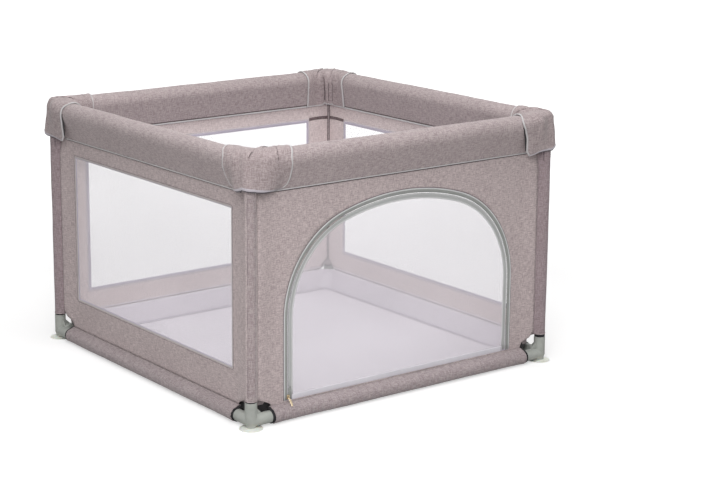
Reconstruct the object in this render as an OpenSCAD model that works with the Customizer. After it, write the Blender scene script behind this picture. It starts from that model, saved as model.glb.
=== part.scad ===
// Square playpen: a steel tube frame in moulded three-way corner fittings, dressed in
// fabric walls with mesh windows, padded top rails and one arched door closed by a zip.
// The origin is on the floor under the centre of the pen. +Z is up, the door faces -Y.

/* [Frame] */
// Distance between the axes of neighbouring posts
post_pitch = 970; // [900:5:1300]
// Height of the top rails' axes above the floor
top_rail_z = 667; // [640:1:800]
// Outside diameter of the steel tubes
tube_d = 25; // [22:0.5:26]
// Wall thickness of the steel tubes
tube_wall = 1.2; // [0.8:0.1:2]

/* [Corner fittings] */
// Wall thickness of the sockets
socket_wall = 2.8; // [2:0.1:3]
// Gap all round between a tube and its socket
socket_fit = 0.2; // [0.1:0.05:0.3]
// Distance from the axes' crossing to the mouth of a rail socket
leg_reach = 62; // [52:1:70]
// Distance from the axes' crossing to the mouth of the post socket
collar_reach = 48; // [40:1:55]
// Distance from the axes' crossing to the stop that a tube seats against
tube_stop = 20; // [18:0.5:26]
// Height of the bottom rail sockets' undersides above the floor
rail_lift = 4.5; // [4:0.25:8]
// Thickness of the gusset webs between the sockets
web_t = 4; // [2.5:0.5:6]
// Distance from the axes' crossing to the ends of a gusset web's sloping edge
web_reach = 32; // [28:1:36]
// Chamfer on the mouths of the sockets
mouth_chamfer = 0.8; // [0.3:0.1:1.2]
// Diameter of the boss under a foot that a suction cup seats against
boss_d = 26; // [20:1:30]

/* [Suction cups] */
// Diameter of a suction cup's rim
cup_d = 60; // [44:1:64]
// Height of the cup's shoulder, which carries the foot
cup_h = 3.8; // [3.2:0.1:4.4]
// Width of the flat rim that rests on the floor
cup_rim = 5; // [3:0.5:8]
// Thickness of the cup's rubber skirt
cup_skin = 1.4; // [1:0.1:1.6]
// Diameter of the stud that plugs into the foot
stud_d = 9; // [7:0.5:11]
// Length of the stud above the shoulder
stud_h = 8; // [5:0.5:10]

/* [Foam and fabric] */
// Thickness of the foam round the bottom rails
low_foam_t = 4.5; // [3:0.5:5.5]
// Thickness of the foam round the top rails
top_foam_t = 12.5; // [9:0.5:18]
// Thickness of the wall and sleeve fabric
fabric_t = 1.6; // [1.2:0.1:2]
// Slack all round between a post and its sleeve
post_ease = 0.8; // [0.4:0.1:1]
// Gap between soft pieces that lie against each other
seam_gap = 0.3; // [0.2:0.05:0.4]
// How far a bottom sleeve reaches over the rail socket's mouth
sleeve_lap = 4; // [3:0.5:8]
// How far the foam reaches over the rail socket's mouth
foam_lap = 2; // [1:0.5:3]

/* [Walls and windows] */
// How far the walls stand inside the line of the post axes
wall_set = 10; // [7:0.5:11]
// Distance from a post's axis to the seam between its sleeve and a wall
post_seam = 22; // [19:0.5:28]
// Distance from a post's axis to the side of a window
win_side = 94; // [85:1:160]
// Height of a window's lower edge
win_low = 130; // [100:1:200]
// Height of a window's upper edge
win_high = 544; // [440:1:560]
// Width of the mesh that is sewn behind a window's edge
mesh_lap = 8; // [5:1:14]
// Thickness of the window mesh
mesh_t = 0.8; // [0.6:0.1:1.2]
// Height of the walls' lower edge, where they are sewn to the bottom sleeves
wall_low = 43.5; // [42:0.5:45]
// Height of the walls' lower corners, where they are cut back above a bottom sleeve's mouth
cut_low = 53; // [48:1:60]

/* [Top pads] */
// Thickness of the quilted fabric over a top rail
pad_t = 4.7; // [3:0.1:6]
// Height of the lower edge of a pad's hanging sides
pad_low = 590; // [575:1:600]
// Distance from a post's axis to the end of a pad
pad_start = 50; // [42:1:60]

/* [Corner caps] */
// Thickness of the quilted corner caps
cap_t = 3.6; // [2.5:0.1:5]
// Distance from a post's axis to the end of a cap's arm
cap_reach = 105; // [80:1:120]
// Height of the caps' lower edge
cap_low = 597; // [585:1:610]
// Radius of the caps' upright outer corner
cap_round = 28; // [14:1:30]
// Slack between a cap and the pads below it
cap_ease = 0.4; // [0.3:0.05:0.5]
// How far the caps' skirts stand out further at their lower edge
cap_flare = 3; // [1:0.5:8]

/* [Door and zip] */
// Half width of the door's arch in the front wall
arch_half = 378; // [340:1:390]
// Height of the arch's crown
arch_top = 541; // [500:1:545]
// Radius of the arch over its crown
crown_r = 636; // [560:1:800]
// Radius of the arch's two shoulders
shoulder_r = 266; // [220:1:300]
// Height of the fold at the foot of the door, which is its hinge
hinge_z = 48; // [46:0.5:52]
// Thickness of the hem along the foot of the door
hem_t = 1.8; // [1.4:0.1:2.2]
// Height of that hem
hem_h = 13; // [9:1:18]
// Thickness of the door's mesh
door_mesh_t = 0.8; // [0.6:0.1:1.2]
// Width of each zip tape that shows beside the coil
tape_w = 10; // [8:0.5:13]
// Thickness of the zip tapes
tape_t = 0.9; // [0.6:0.1:1.2]
// Width of each half of the zip's coil
coil_w = 2.3; // [1.8:0.1:3]
// Thickness of the zip's coil
coil_t = 2.6; // [2:0.1:3.2]
// Gap between the coil's halves, which the slider's wedge runs in
coil_gap = 1.6; // [1.4:0.1:2]

/* [Slider and pull] */
// Height of the zip slider
slider_h = 12; // [10:0.5:15]
// Width of the zip slider
slider_w = 9; // [8.2:0.1:11]
// Thickness of the slider's plates
plate_t = 1.2; // [0.9:0.1:1.6]
// Running clearance between the slider and the zip
slider_fit = 0.35; // [0.3:0.05:0.45]
// Height of the slider's lower end when it is parked
slider_low = 50; // [49:0.5:60]
// Length of the pull from its pin to its tip
pull_len = 24; // [18:1:32]
// Width of the pull
pull_w = 5; // [4:0.25:6]
// Thickness of the pull
pull_t = 1.4; // [1:0.1:1.8]
// Diameter of the pin that the pull hangs on
pin_d = 1.8; // [1.4:0.1:2]
// Running clearance between the pin and the pull's eye
pin_fit = 0.08; // [0.05:0.01:0.1]

/* [Floor] */
// Height of the underside of the floor sheet
floor_z = 3; // [2:0.5:4]
// Height of the floor sheet's raised edge, where it is sewn to the walls
floor_edge = 64; // [58:1:67]
// Height of the floor sheet's edge below the door
door_edge_z = 41; // [36:1:44]
// Distance from a post's axis to the end of the raised edge
edge_start = 39; // [34:1:50]
// How far the flat of the floor sheet reaches past the mat
mat_ease = 3; // [2:0.5:5]
// Thickness of the loose floor mat
mat_t = 12; // [6:1:18]
// Gap all round between the mat and the corner caps above it, so that it lifts out
mat_gap = 6; // [2:0.5:12]
// Radius of the mat's corners
mat_round = 25; // [10:1:60]

/* [Hidden] */
$fn = 64;

half = post_pitch / 2;
tube_r = tube_d / 2;
bore_r = tube_r + socket_fit;
socket_r = bore_r + socket_wall;
elbow_r = socket_r + 0.3;
tube_seat = tube_stop + seam_gap;
low_rail_z = socket_r + rail_lift;

low_foam_r = tube_r + low_foam_t;
low_sleeve_r = low_foam_r + seam_gap + fabric_t;
top_foam_r = tube_r + top_foam_t;
post_sleeve_r = tube_r + post_ease + fabric_t;

// The walls' middle plane, and the ends of the parts that meet it
wall_y = half - wall_set;
wall_top = top_rail_z - collar_reach - 4;
wall_side = half - post_seam - seam_gap;
cut_top = low_rail_z + collar_reach + 2;
mouth = leg_reach - sleeve_lap;

pad_r = top_foam_r + seam_gap + pad_t;
cap_in_r = pad_r + cap_ease;
cap_r = cap_in_r + cap_t;
mat_half = half - cap_r - mat_gap;
mat_z = floor_z + fabric_t + seam_gap;
flat_half = mat_half + mat_ease;
edge_half = wall_y - fabric_t / 2 - seam_gap;

// The arch is three arcs that run into each other, on two upright legs
crown_z = arch_top - crown_r;
shoulder_x = arch_half - shoulder_r;
shoulder_z = crown_z + sqrt((crown_r - shoulder_r) ^ 2 - shoulder_x ^ 2);
crown_turn = atan2(shoulder_z - crown_z, shoulder_x);
arc_steps = 10;
crown_steps = 10;

// Distances inwards from the arch's edge to the parts of the zip
coil_lap = 1.5;
coil_start = seam_gap + tape_w - coil_lap;
coil_mid = coil_start + coil_w + coil_gap / 2;
door_coil = coil_mid + coil_gap / 2;
door_edge = door_coil + coil_w - coil_lap + tape_w;
strip_top = hinge_z - hem_t / 2 - seam_gap;
slider_x = -(arch_half - coil_mid);
slider_z = slider_low + slider_h / 2;
channel = coil_t / 2 + slider_fit;
eye_r = pin_d / 2 + pin_fit + 1;
pin_y = -(channel + plate_t + eye_r + seam_gap);
lug_t = 1;
// The zip's tail stays on the wall up to where the pull's tip can't reach the swinging door
tail_top = hinge_z - pin_y + pull_len + 1;
stop_top = slider_low - 0.4;

// The pull lies against the bottom sleeve, on the tangent from its pin
pin_out = wall_y - pin_y - half;
pin_up = slider_z - low_rail_z;
lean_r = low_sleeve_r + pull_t / 2 + seam_gap;
pull_lean = asin(lean_r / norm([pin_out, pin_up])) - atan2(pin_out, pin_up);

// ---- placing ----

// Puts a child that is drawn at the front left corner at corner i, counted anticlockwise
module at_corner(i) { rotate([0, 0, 90 * i]) translate([-half, -half, 0]) children(); }

// Turns a child that is drawn on the front side to side i, counted anticlockwise
module at_side(i) { rotate([0, 0, 90 * i]) children(); }

// Stands a flat outline, drawn as x and height, upright with its middle inset from the front wall's
module upright(thick, inset = 0) {
    translate([0, -wall_y + inset + thick / 2, 0]) rotate([90, 0, 0]) linear_extrude(thick) children();
}

// A bar or tube along X, centred on x = 0, in the line of the front posts
module rail_bar(r, hole_r, long, z) {
    translate([-long / 2, -half, z]) rotate([0, 90, 0]) difference() {
        cylinder(r = r, h = long);
        if (hole_r > 0) translate([0, 0, -1]) cylinder(r = hole_r, h = long + 2);
    }
}

// A bar along +Z whose outline is a round back with sides that draw in to two feet below it
module folded_bar(r, foot_1, foot_2, drop, long) {
    function side(foot, s) = let (a = atan2(-drop, foot) + s * acos(r / norm([foot, drop])))
        [0.985 * r * cos(a), 0.985 * r * sin(a)];
    cylinder(r = r, h = long);
    linear_extrude(long) polygon([[0, r / 2], side(foot_1, -1), [foot_1, -drop], [foot_2, -drop],
        side(foot_2, 1)]);
}

// ---- frame ----

// One socket along +Z with a chamfered mouth
module socket(reach) {
    cylinder(r = socket_r, h = reach - mouth_chamfer);
    translate([0, 0, reach - mouth_chamfer])
        cylinder(r1 = socket_r, r2 = socket_r - mouth_chamfer, h = mouth_chamfer);
}

// A gusset in the XY plane between two sockets, with a sloping edge
module web() {
    side = socket_r - 1;
    translate([0, 0, -web_t / 2]) linear_extrude(web_t)
        polygon([[0, 0], [web_reach, 0], [web_reach, side], [side, web_reach], [0, web_reach]]);
}

// Three sockets at right angles, along +X, +Y and +Z, with webs between them
module three_way() {
    difference() {
        union() {
            sphere(r = elbow_r);
            socket(collar_reach);
            rotate([0, 90, 0]) socket(leg_reach);
            rotate([-90, 0, 0]) socket(leg_reach);
            web();
            rotate([90, 0, 0]) web();
            rotate([0, -90, 0]) web();
        }
        translate([0, 0, tube_stop]) cylinder(r = bore_r, h = collar_reach);
        rotate([0, 90, 0]) translate([0, 0, tube_stop]) cylinder(r = bore_r, h = leg_reach);
        rotate([-90, 0, 0]) translate([0, 0, tube_stop]) cylinder(r = bore_r, h = leg_reach);
    }
}

module corner_foot(i) {
    color([0.68, 0.69, 0.68]) at_corner(i) difference() {
        union() {
            translate([0, 0, low_rail_z]) three_way();
            translate([0, 0, cup_h]) cylinder(d = boss_d, h = low_rail_z - cup_h);
        }
        translate([0, 0, cup_h - 1]) cylinder(d = stud_d + 2 * seam_gap, h = stud_h + 2);
    }
}

module corner_head(i) {
    color([0.68, 0.69, 0.68]) at_corner(i) translate([0, 0, top_rail_z]) mirror([0, 0, 1]) three_way();
}

// A shallow rubber cup with a stud on its crown
module suction_cup() {
    rim = cup_d / 2;
    crown = boss_d / 2;
    rotate_extrude() polygon([[rim - cup_rim, 0], [rim, 0], [rim, cup_skin], [crown, cup_h],
        [stud_d / 2, cup_h], [stud_d / 2, cup_h + stud_h], [0, cup_h + stud_h],
        [0, cup_h - 2 * cup_skin], [crown - cup_skin, cup_h - 2 * cup_skin]]);
}

module suction_cups() {
    color([0.85, 0.81, 0.72]) for (i = [0 : 3]) at_corner(i) suction_cup();
}

module post_tube(i) {
    low = low_rail_z + tube_seat;
    color([0.8, 0.8, 0.8]) at_corner(i) translate([0, 0, low]) difference() {
        cylinder(r = tube_r, h = top_rail_z - tube_seat - low);
        translate([0, 0, -1]) cylinder(r = tube_r - tube_wall, h = top_rail_z);
    }
}

module rail_tube(i, z) {
    color([0.8, 0.8, 0.8]) at_side(i) rail_bar(tube_r, tube_r - tube_wall, 2 * (half - tube_seat), z);
}

// ---- foam and sleeves ----

// Opens the ends of a foam tube out over the sockets
module mouth_cutter(end, z) {
    for (x = [-end - 1, end - foam_lap - seam_gap]) translate([x, -half, z]) rotate([0, 90, 0])
        cylinder(r = socket_r + seam_gap, h = foam_lap + seam_gap + 1);
}

// A foam tube round a top rail
module top_foam(i) {
    end = half - leg_reach + foam_lap;
    color([0.13, 0.13, 0.14]) at_side(i) difference() {
        rail_bar(top_foam_r, tube_r + seam_gap, 2 * end, top_rail_z);
        mouth_cutter(end, top_rail_z);
    }
}

// A bar round a bottom rail, whose sides draw in above it to the foot of the wall
module low_bar(r, long) {
    k = r / low_sleeve_r;
    translate([-long / 2, -half, low_rail_z]) rotate([90, 0, 90]) mirror([0, 1, 0])
        folded_bar(r, k * (wall_set - fabric_t), k * (wall_set + fabric_t),
            k * (wall_low - seam_gap - low_rail_z), long);
}

// Foam round the four bottom rails
module bottom_foam() {
    end = half - leg_reach + foam_lap;
    color([0.13, 0.13, 0.14]) for (i = [0 : 3]) at_side(i) difference() {
        low_bar(low_foam_r, 2 * end);
        rail_bar(tube_r + seam_gap, 0, 2 * end + 2, low_rail_z);
        mouth_cutter(end, low_rail_z);
    }
}

module bottom_sleeve(i) {
    long = 2 * (half - mouth);
    color([0.62, 0.58, 0.57]) at_side(i) difference() {
        low_bar(low_sleeve_r, long);
        low_bar(low_sleeve_r - fabric_t, long + 2);
    }
}

// A tube round the post, with a wing to the seam of each wall
module post_sleeve(i) {
    low = low_rail_z + collar_reach + seam_gap;
    high = top_rail_z - collar_reach - seam_gap;
    wing_start = sqrt((post_sleeve_r - fabric_t / 2) ^ 2 - wall_set ^ 2);
    color([0.62, 0.58, 0.57]) at_corner(i) translate([0, 0, low]) {
        difference() {
            cylinder(r = post_sleeve_r, h = high - low);
            translate([0, 0, -1]) cylinder(r = post_sleeve_r - fabric_t, h = high - low + 2);
        }
        translate([wing_start, wall_set - fabric_t / 2, 0])
            cube([post_seam - wing_start, fabric_t, high - low]);
        translate([wall_set - fabric_t / 2, wing_start, 0])
            cube([fabric_t, post_seam - wing_start, high - low]);
    }
}

// ---- walls ----

// Outline of a whole wall, cut back at its two feet to leave the fittings bare
module wall_outline() {
    end = half - mouth;
    polygon([[-end, wall_low], [end, wall_low], [end, cut_low], [wall_side, cut_top],
        [wall_side, wall_top], [-wall_side, wall_top], [-wall_side, cut_top], [-end, cut_low]]);
}

// A window's outline, grown all round by lap
module window_outline(lap) {
    side = half - win_side + lap;
    translate([-side, win_low - lap]) square([2 * side, win_high - win_low + 2 * lap]);
}

module window_wall(i) {
    color([0.66, 0.62, 0.61]) at_side(i) upright(fabric_t) difference() {
        wall_outline();
        window_outline(0);
    }
}

module window_mesh(i) {
    color([0.92, 0.92, 0.93, 0.6]) at_side(i)
        upright(mesh_t, fabric_t / 2 + seam_gap + mesh_t / 2) window_outline(mesh_lap);
}

// ---- door ----

// The arch moved inwards by off, from its right foot over the crown to its left foot
function arch_line(off, low) = let (side = arch_half - off, sr = shoulder_r - off, cr = crown_r - off)
    concat(
        [[side, low]],
        [for (i = [0 : arc_steps]) let (a = crown_turn * i / arc_steps)
            [shoulder_x + sr * cos(a), shoulder_z + sr * sin(a)]],
        [for (i = [1 : crown_steps - 1]) let (a = crown_turn + (180 - 2 * crown_turn) * i / crown_steps)
            [cr * cos(a), crown_z + cr * sin(a)]],
        [for (i = [0 : arc_steps]) let (a = 180 - crown_turn * (1 - i / arc_steps))
            [-shoulder_x + sr * cos(a), shoulder_z + sr * sin(a)]],
        [[-side, low]]);

function backwards(points) = [for (i = [len(points) - 1 : -1 : 0]) points[i]];

// The strip between two inward offsets of the arch
module arch_band(off, wide, low) {
    polygon(concat(arch_line(off, low), backwards(arch_line(off + wide, low))));
}

// The foot of the zip's left leg, up to a height
module tail_area(high) {
    translate([-arch_half, 0]) square([door_edge, high]);
}

module wall_front() {
    color([0.7, 0.66, 0.65]) upright(fabric_t) difference() {
        wall_outline();
        polygon(arch_line(0, strip_top));
    }
}

// The half of the zip sewn to the wall, with the other half's tail and the stop that joins them
module zip_wall_half() {
    color([0.72, 0.74, 0.74]) {
        upright(tape_t) {
            arch_band(seam_gap, tape_w, hinge_z);
            intersection() {
                arch_band(door_coil + coil_w - coil_lap, tape_w, hinge_z);
                tail_area(tail_top);
            }
        }
        upright(coil_t) {
            arch_band(coil_start, coil_w, hinge_z);
            intersection() {
                arch_band(door_coil, coil_w, hinge_z);
                tail_area(tail_top);
            }
            translate([coil_start - arch_half, hinge_z])
                square([door_coil + coil_w - coil_start, stop_top - hinge_z]);
        }
    }
}

module zip_door_half() {
    low = hinge_z + coil_t;
    color([0.72, 0.74, 0.74]) {
        upright(tape_t) difference() {
            arch_band(door_coil + coil_w - coil_lap, tape_w, low);
            tail_area(tail_top + seam_gap);
        }
        upright(coil_t) difference() {
            arch_band(door_coil, coil_w, low);
            tail_area(tail_top + seam_gap);
        }
    }
}

// The door inside its zip, from its foot up
module door_area(low) {
    polygon(arch_line(door_edge + seam_gap, low));
}

module door_mesh() {
    color([0.9, 0.89, 0.91, 0.6]) upright(door_mesh_t) door_area(hinge_z + hem_h + seam_gap);
}

// A flat hem whose round lower edge is the door's hinge
module door_hem() {
    side = arch_half - door_edge - seam_gap;
    color([0.74, 0.74, 0.77]) {
        upright(hem_t) translate([-side, hinge_z]) square([2 * side, hem_h]);
        translate([-side, -wall_y, hinge_z]) rotate([0, 90, 0]) cylinder(d = hem_t, h = 2 * side);
    }
}

// ---- slider and pull, drawn round the middle of the parked slider ----

module at_slider() { translate([slider_x, -wall_y, slider_z]) children(); }

// One plate of the slider, narrower at its lower end
module slider_plate() {
    w = slider_w / 2;
    h = slider_h / 2;
    rotate([90, 0, 0]) linear_extrude(plate_t)
        polygon([[-w + 1.5, -h], [w - 1.5, -h], [w, -h + 3], [w, h - 1], [w - 1, h], [-w + 1, h],
            [-w, h - 1], [-w, -h + 3]]);
}

module zip_slider() {
    wedge_t = coil_gap - 2 * seam_gap;
    lug_x = pull_w / 2 + seam_gap;
    color([0.72, 0.6, 0.42]) at_slider() {
        translate([0, -channel, 0]) slider_plate();
        translate([0, channel + plate_t, 0]) slider_plate();
        translate([-wedge_t / 2, -channel - plate_t / 2, -slider_h / 2 + 1])
            cube([wedge_t, 2 * channel + plate_t, slider_h / 4]);
        for (x = [-lug_x - lug_t, lug_x]) {
            translate([x, pin_y, -eye_r]) cube([lug_t, -pin_y - channel - plate_t / 2, 2 * eye_r]);
            translate([x, pin_y, 0]) rotate([0, 90, 0]) cylinder(r = eye_r, h = lug_t);
        }
        translate([-lug_x - lug_t / 2, pin_y, 0]) rotate([0, 90, 0])
            cylinder(d = pin_d, h = 2 * lug_x + lug_t);
    }
}

// A flat tab with an eye at its top and a slot in its tip
module zip_pull() {
    tip_r = pull_w / 2;
    color([0.72, 0.6, 0.42]) at_slider() translate([0, pin_y, 0]) rotate([-pull_lean, 0, 0]) difference() {
        union() {
            translate([0, pull_t / 2, 0]) rotate([90, 0, 0]) linear_extrude(pull_t) union() {
                translate([-pull_w / 2, -pull_len + tip_r]) square([pull_w, pull_len - tip_r]);
                translate([0, -pull_len + tip_r]) circle(r = tip_r);
            }
            translate([-pull_w / 2, 0, 0]) rotate([0, 90, 0]) cylinder(r = eye_r, h = pull_w);
        }
        translate([-pull_w, 0, 0]) rotate([0, 90, 0]) cylinder(r = pin_d / 2 + pin_fit, h = 2 * pull_w);
        translate([0, pull_t, -pull_len + tip_r]) rotate([90, 0, 0]) cylinder(r = tip_r / 2, h = 2 * pull_t);
    }
}

// ---- top pads and corner caps ----

// A pad over a top rail, whose sides hang down to the two faces of the wall
module top_pad(i) {
    drop = top_rail_z - pad_low;
    long = 2 * (half - pad_start);
    slot = fabric_t / 2 + seam_gap;
    color([0.58, 0.54, 0.53]) at_side(i) translate([-long / 2, -half, top_rail_z]) rotate([90, 0, 90])
        difference() {
            folded_bar(pad_r, wall_set - slot - pad_t, wall_set + slot + pad_t, drop, long);
            translate([0, 0, -1])
                folded_bar(pad_r - pad_t, wall_set - slot, wall_set + slot, drop + 1, long + 2);
        }
}

// A bar along +Z whose outline is a round back with sides that spread out below it
module hood_bar(r, drop, long) {
    foot = r + cap_flare;
    cylinder(r = r, h = long);
    linear_extrude(long) polygon([[-0.9 * r, 0.2 * r], [0.9 * r, 0.2 * r], [foot, -drop], [-foot, -drop]]);
}

// A hood over a corner: an arm along +X and another along +Y, whose sides draw in to two feet,
// and a skirt that stands out round the post
module hood(r, foot_1, foot_2, reach) {
    drop = top_rail_z - pad_low;
    out = r + cap_flare;
    rotate([90, 0, 90]) folded_bar(r, foot_1, foot_2, drop, reach);
    translate([0, reach, 0]) rotate([90, 0, 0]) folded_bar(r, foot_1, foot_2, drop, reach);
    intersection() {
        translate([-out, 0, 0]) rotate([90, 0, 90]) hood_bar(r, drop, 2 * out);
        translate([0, out, 0]) rotate([90, 0, 0]) hood_bar(r, drop, 2 * out);
        translate([-out, -out, -drop]) cube([out + foot_2, out + foot_2, drop + r]);
    }
}

// Cuts the square outer corner of a hood to a round one
module corner_cutter(r, round_r, drop) {
    mid = -r - cap_flare + round_r;
    translate([0, 0, -drop - 1]) difference() {
        translate([mid - round_r - 1, mid - round_r - 1, 0]) cube([round_r + 1, round_r + 1, drop + r + 2]);
        translate([mid, mid, -1]) cylinder(r = round_r, h = drop + r + 4);
    }
}

module corner_cap(i) {
    drop = top_rail_z - pad_low;
    slot = fabric_t / 2 + seam_gap + pad_t + cap_ease;
    color([0.58, 0.54, 0.53]) at_corner(i) translate([0, 0, top_rail_z]) difference() {
        hood(cap_r, wall_set - slot - cap_t, wall_set + slot + cap_t, cap_reach);
        corner_cutter(cap_r, cap_round, drop);
        difference() {
            hood(cap_in_r, wall_set - slot, wall_set + slot, cap_reach + 1);
            corner_cutter(cap_in_r, cap_round - cap_t, drop + 1);
        }
        translate([-half / 2, -half / 2, -drop - half + cap_low - pad_low]) cube(half);
    }
}

// ---- floor ----

// A square block whose sides slope from half width low at height bottom to high at top
module sloped_block(low, high, bottom, top) {
    translate([0, 0, bottom]) rotate([0, 0, 45])
        cylinder(r1 = low * sqrt(2), r2 = high * sqrt(2), h = top - bottom, $fn = 4);
}

// A shallow tray whose sides rise over the bottom sleeves to the walls, open at the feet and
// lower at the door
module floor_sheet() {
    slope = (edge_half - flat_half) / (floor_edge - floor_z);
    side_t = fabric_t * sqrt(1 + slope ^ 2);
    color([0.83, 0.8, 0.84]) difference() {
        intersection() {
            sloped_block(flat_half, edge_half, floor_z, floor_edge);
            cylinder(r = edge_half + half - edge_start, h = floor_edge + 1, $fn = 4);
        }
        sloped_block(flat_half + slope * fabric_t - side_t, edge_half + slope - side_t,
            floor_z + fabric_t, floor_edge + 1);
        translate([-half, -half, door_edge_z]) cube([post_pitch, half - flat_half, floor_edge]);
    }
}

module play_mat() {
    inner = mat_half - mat_round;
    color([0.86, 0.83, 0.87]) translate([0, 0, mat_z]) linear_extrude(mat_t) union() {
        square([2 * mat_half, 2 * inner], center = true);
        square([2 * inner, 2 * mat_half], center = true);
        for (x = [-inner, inner], y = [-inner, inner]) translate([x, y]) circle(r = mat_round);
    }
}

// ---- nodes ----

corner_foot(0);  // corner_foot_front_left
corner_foot(1);  // corner_foot_front_right
corner_foot(2);  // corner_foot_back_right
corner_foot(3);  // corner_foot_back_left
corner_head(0);  // corner_head_front_left
corner_head(1);  // corner_head_front_right
corner_head(2);  // corner_head_back_right
corner_head(3);  // corner_head_back_left
suction_cups();
post_tube(0);  // post_tube_front_left
post_tube(1);  // post_tube_front_right
post_tube(2);  // post_tube_back_right
post_tube(3);  // post_tube_back_left
rail_tube(0, low_rail_z);  // bottom_tube_front
rail_tube(1, low_rail_z);  // bottom_tube_right
rail_tube(2, low_rail_z);  // bottom_tube_back
rail_tube(3, low_rail_z);  // bottom_tube_left
rail_tube(0, top_rail_z);  // top_tube_front
rail_tube(1, top_rail_z);  // top_tube_right
rail_tube(2, top_rail_z);  // top_tube_back
rail_tube(3, top_rail_z);  // top_tube_left
bottom_foam();
top_foam(0);  // top_foam_front
top_foam(1);  // top_foam_right
top_foam(2);  // top_foam_back
top_foam(3);  // top_foam_left
bottom_sleeve(0);  // bottom_sleeve_front
bottom_sleeve(1);  // bottom_sleeve_right
bottom_sleeve(2);  // bottom_sleeve_back
bottom_sleeve(3);  // bottom_sleeve_left
post_sleeve(0);  // post_sleeve_front_left
post_sleeve(1);  // post_sleeve_front_right
post_sleeve(2);  // post_sleeve_back_right
post_sleeve(3);  // post_sleeve_back_left
wall_front();
window_wall(1);  // wall_right
window_wall(2);  // wall_back
window_wall(3);  // wall_left
window_mesh(1);  // mesh_right
window_mesh(2);  // mesh_back
window_mesh(3);  // mesh_left
top_pad(0);  // top_pad_front
top_pad(1);  // top_pad_right
top_pad(2);  // top_pad_back
top_pad(3);  // top_pad_left
corner_cap(0);  // corner_cap_front_left
corner_cap(1);  // corner_cap_front_right
corner_cap(2);  // corner_cap_back_right
corner_cap(3);  // corner_cap_back_left
floor_sheet();
play_mat();
zip_wall_half();
zip_door_half();
door_mesh();
door_hem();
zip_slider();
zip_pull();
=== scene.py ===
import bpy
import bmesh
import math
from mathutils import Matrix, Vector, noise


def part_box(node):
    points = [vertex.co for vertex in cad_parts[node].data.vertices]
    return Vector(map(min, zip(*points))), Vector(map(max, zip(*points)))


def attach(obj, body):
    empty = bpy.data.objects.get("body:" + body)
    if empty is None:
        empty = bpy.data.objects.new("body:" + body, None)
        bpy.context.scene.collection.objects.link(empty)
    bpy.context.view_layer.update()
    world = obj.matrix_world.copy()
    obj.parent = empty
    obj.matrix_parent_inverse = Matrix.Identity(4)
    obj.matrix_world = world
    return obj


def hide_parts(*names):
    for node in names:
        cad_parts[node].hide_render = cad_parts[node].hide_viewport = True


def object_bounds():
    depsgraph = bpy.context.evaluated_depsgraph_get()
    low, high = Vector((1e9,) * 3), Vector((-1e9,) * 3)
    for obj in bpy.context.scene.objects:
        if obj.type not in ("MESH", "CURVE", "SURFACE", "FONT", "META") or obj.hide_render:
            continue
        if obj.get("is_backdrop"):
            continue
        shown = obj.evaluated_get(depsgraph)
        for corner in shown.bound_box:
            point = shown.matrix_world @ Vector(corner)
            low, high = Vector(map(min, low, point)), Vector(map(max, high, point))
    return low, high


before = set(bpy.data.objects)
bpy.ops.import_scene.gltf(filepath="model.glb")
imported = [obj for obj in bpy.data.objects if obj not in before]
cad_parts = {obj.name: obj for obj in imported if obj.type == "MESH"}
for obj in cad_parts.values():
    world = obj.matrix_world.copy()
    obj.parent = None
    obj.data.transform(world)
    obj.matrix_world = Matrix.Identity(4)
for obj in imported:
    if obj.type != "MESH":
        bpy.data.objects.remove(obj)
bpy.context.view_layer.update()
scene = bpy.context.scene
mm = 0.001


# Measures taken from the frame

def middle(node):
    low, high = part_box(node)
    return (low + high) / 2


half = -middle("post_tube_front_left").x
lowRail = middle("bottom_tube_front").z
topRail = middle("top_tube_front").z
wallLine = -middle("wall_front").y
wallLow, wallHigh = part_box("wall_front")
sleeveLow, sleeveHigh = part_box("bottom_sleeve_front")
sleeveRadius = lowRail - sleeveLow.z
wallIn = half - wallLine
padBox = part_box("top_pad_front")
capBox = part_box("corner_cap_front_left")
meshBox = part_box("mesh_back")
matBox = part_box("play_mat")
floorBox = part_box("floor_sheet")
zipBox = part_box("zip_wall_half")
sideNames = ["front", "right", "back", "left"]
cornerNames = ["front_left", "front_right", "back_right", "back_left"]


def turned(i):  # to side i, counted anticlockwise from the front
    return Matrix.Rotation(math.radians(90 * i), 4, "Z")


def atCorner(i):  # to the post of corner i, counted anticlockwise from the front left
    return turned(i) @ Matrix.Translation((-half, -half, 0))


def titled(name):  # front_left becomes FrontLeft
    return name.title().replace("_", "")


def tone(*levels):  # screen levels, 0 to 255, as a linear colour
    shares = [level / 255 for level in levels]
    return tuple(c / 12.92 if c <= 0.04045 else ((c + 0.055) / 1.055) ** 2.4 for c in shares) + (1,)


def smooth(a, b, x):
    t = min(1, max(0, (x - a) / (b - a)))
    return t * t * (3 - 2 * t)


def ripple(x, y, z=0):
    return noise.noise(Vector((x, y, z)))


def gap(a, b):
    return (Vector(a) - Vector(b)).length


def lengthOf(points):
    return sum(gap(a, b) for a, b in zip(points, points[1:]))


def around(n):  # n even turns of a circle
    return [2 * math.pi * k / n for k in range(n)]


# Shader kit

class Wire:
    def __init__(self, kit, socket):
        self.kit, self.socket = kit, socket

    def joined(self, operation, a, b):
        return self.kit.node("ShaderNodeMath", {"operation": operation}, {0: a, 1: b})

    def __add__(self, other):
        return self.joined("ADD", self, other)

    __radd__ = __add__

    def __sub__(self, other):
        return self.joined("SUBTRACT", self, other)

    def __rsub__(self, other):
        return self.joined("SUBTRACT", other, self)

    def __mul__(self, other):
        return self.joined("MULTIPLY", self, other)

    __rmul__ = __mul__


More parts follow.
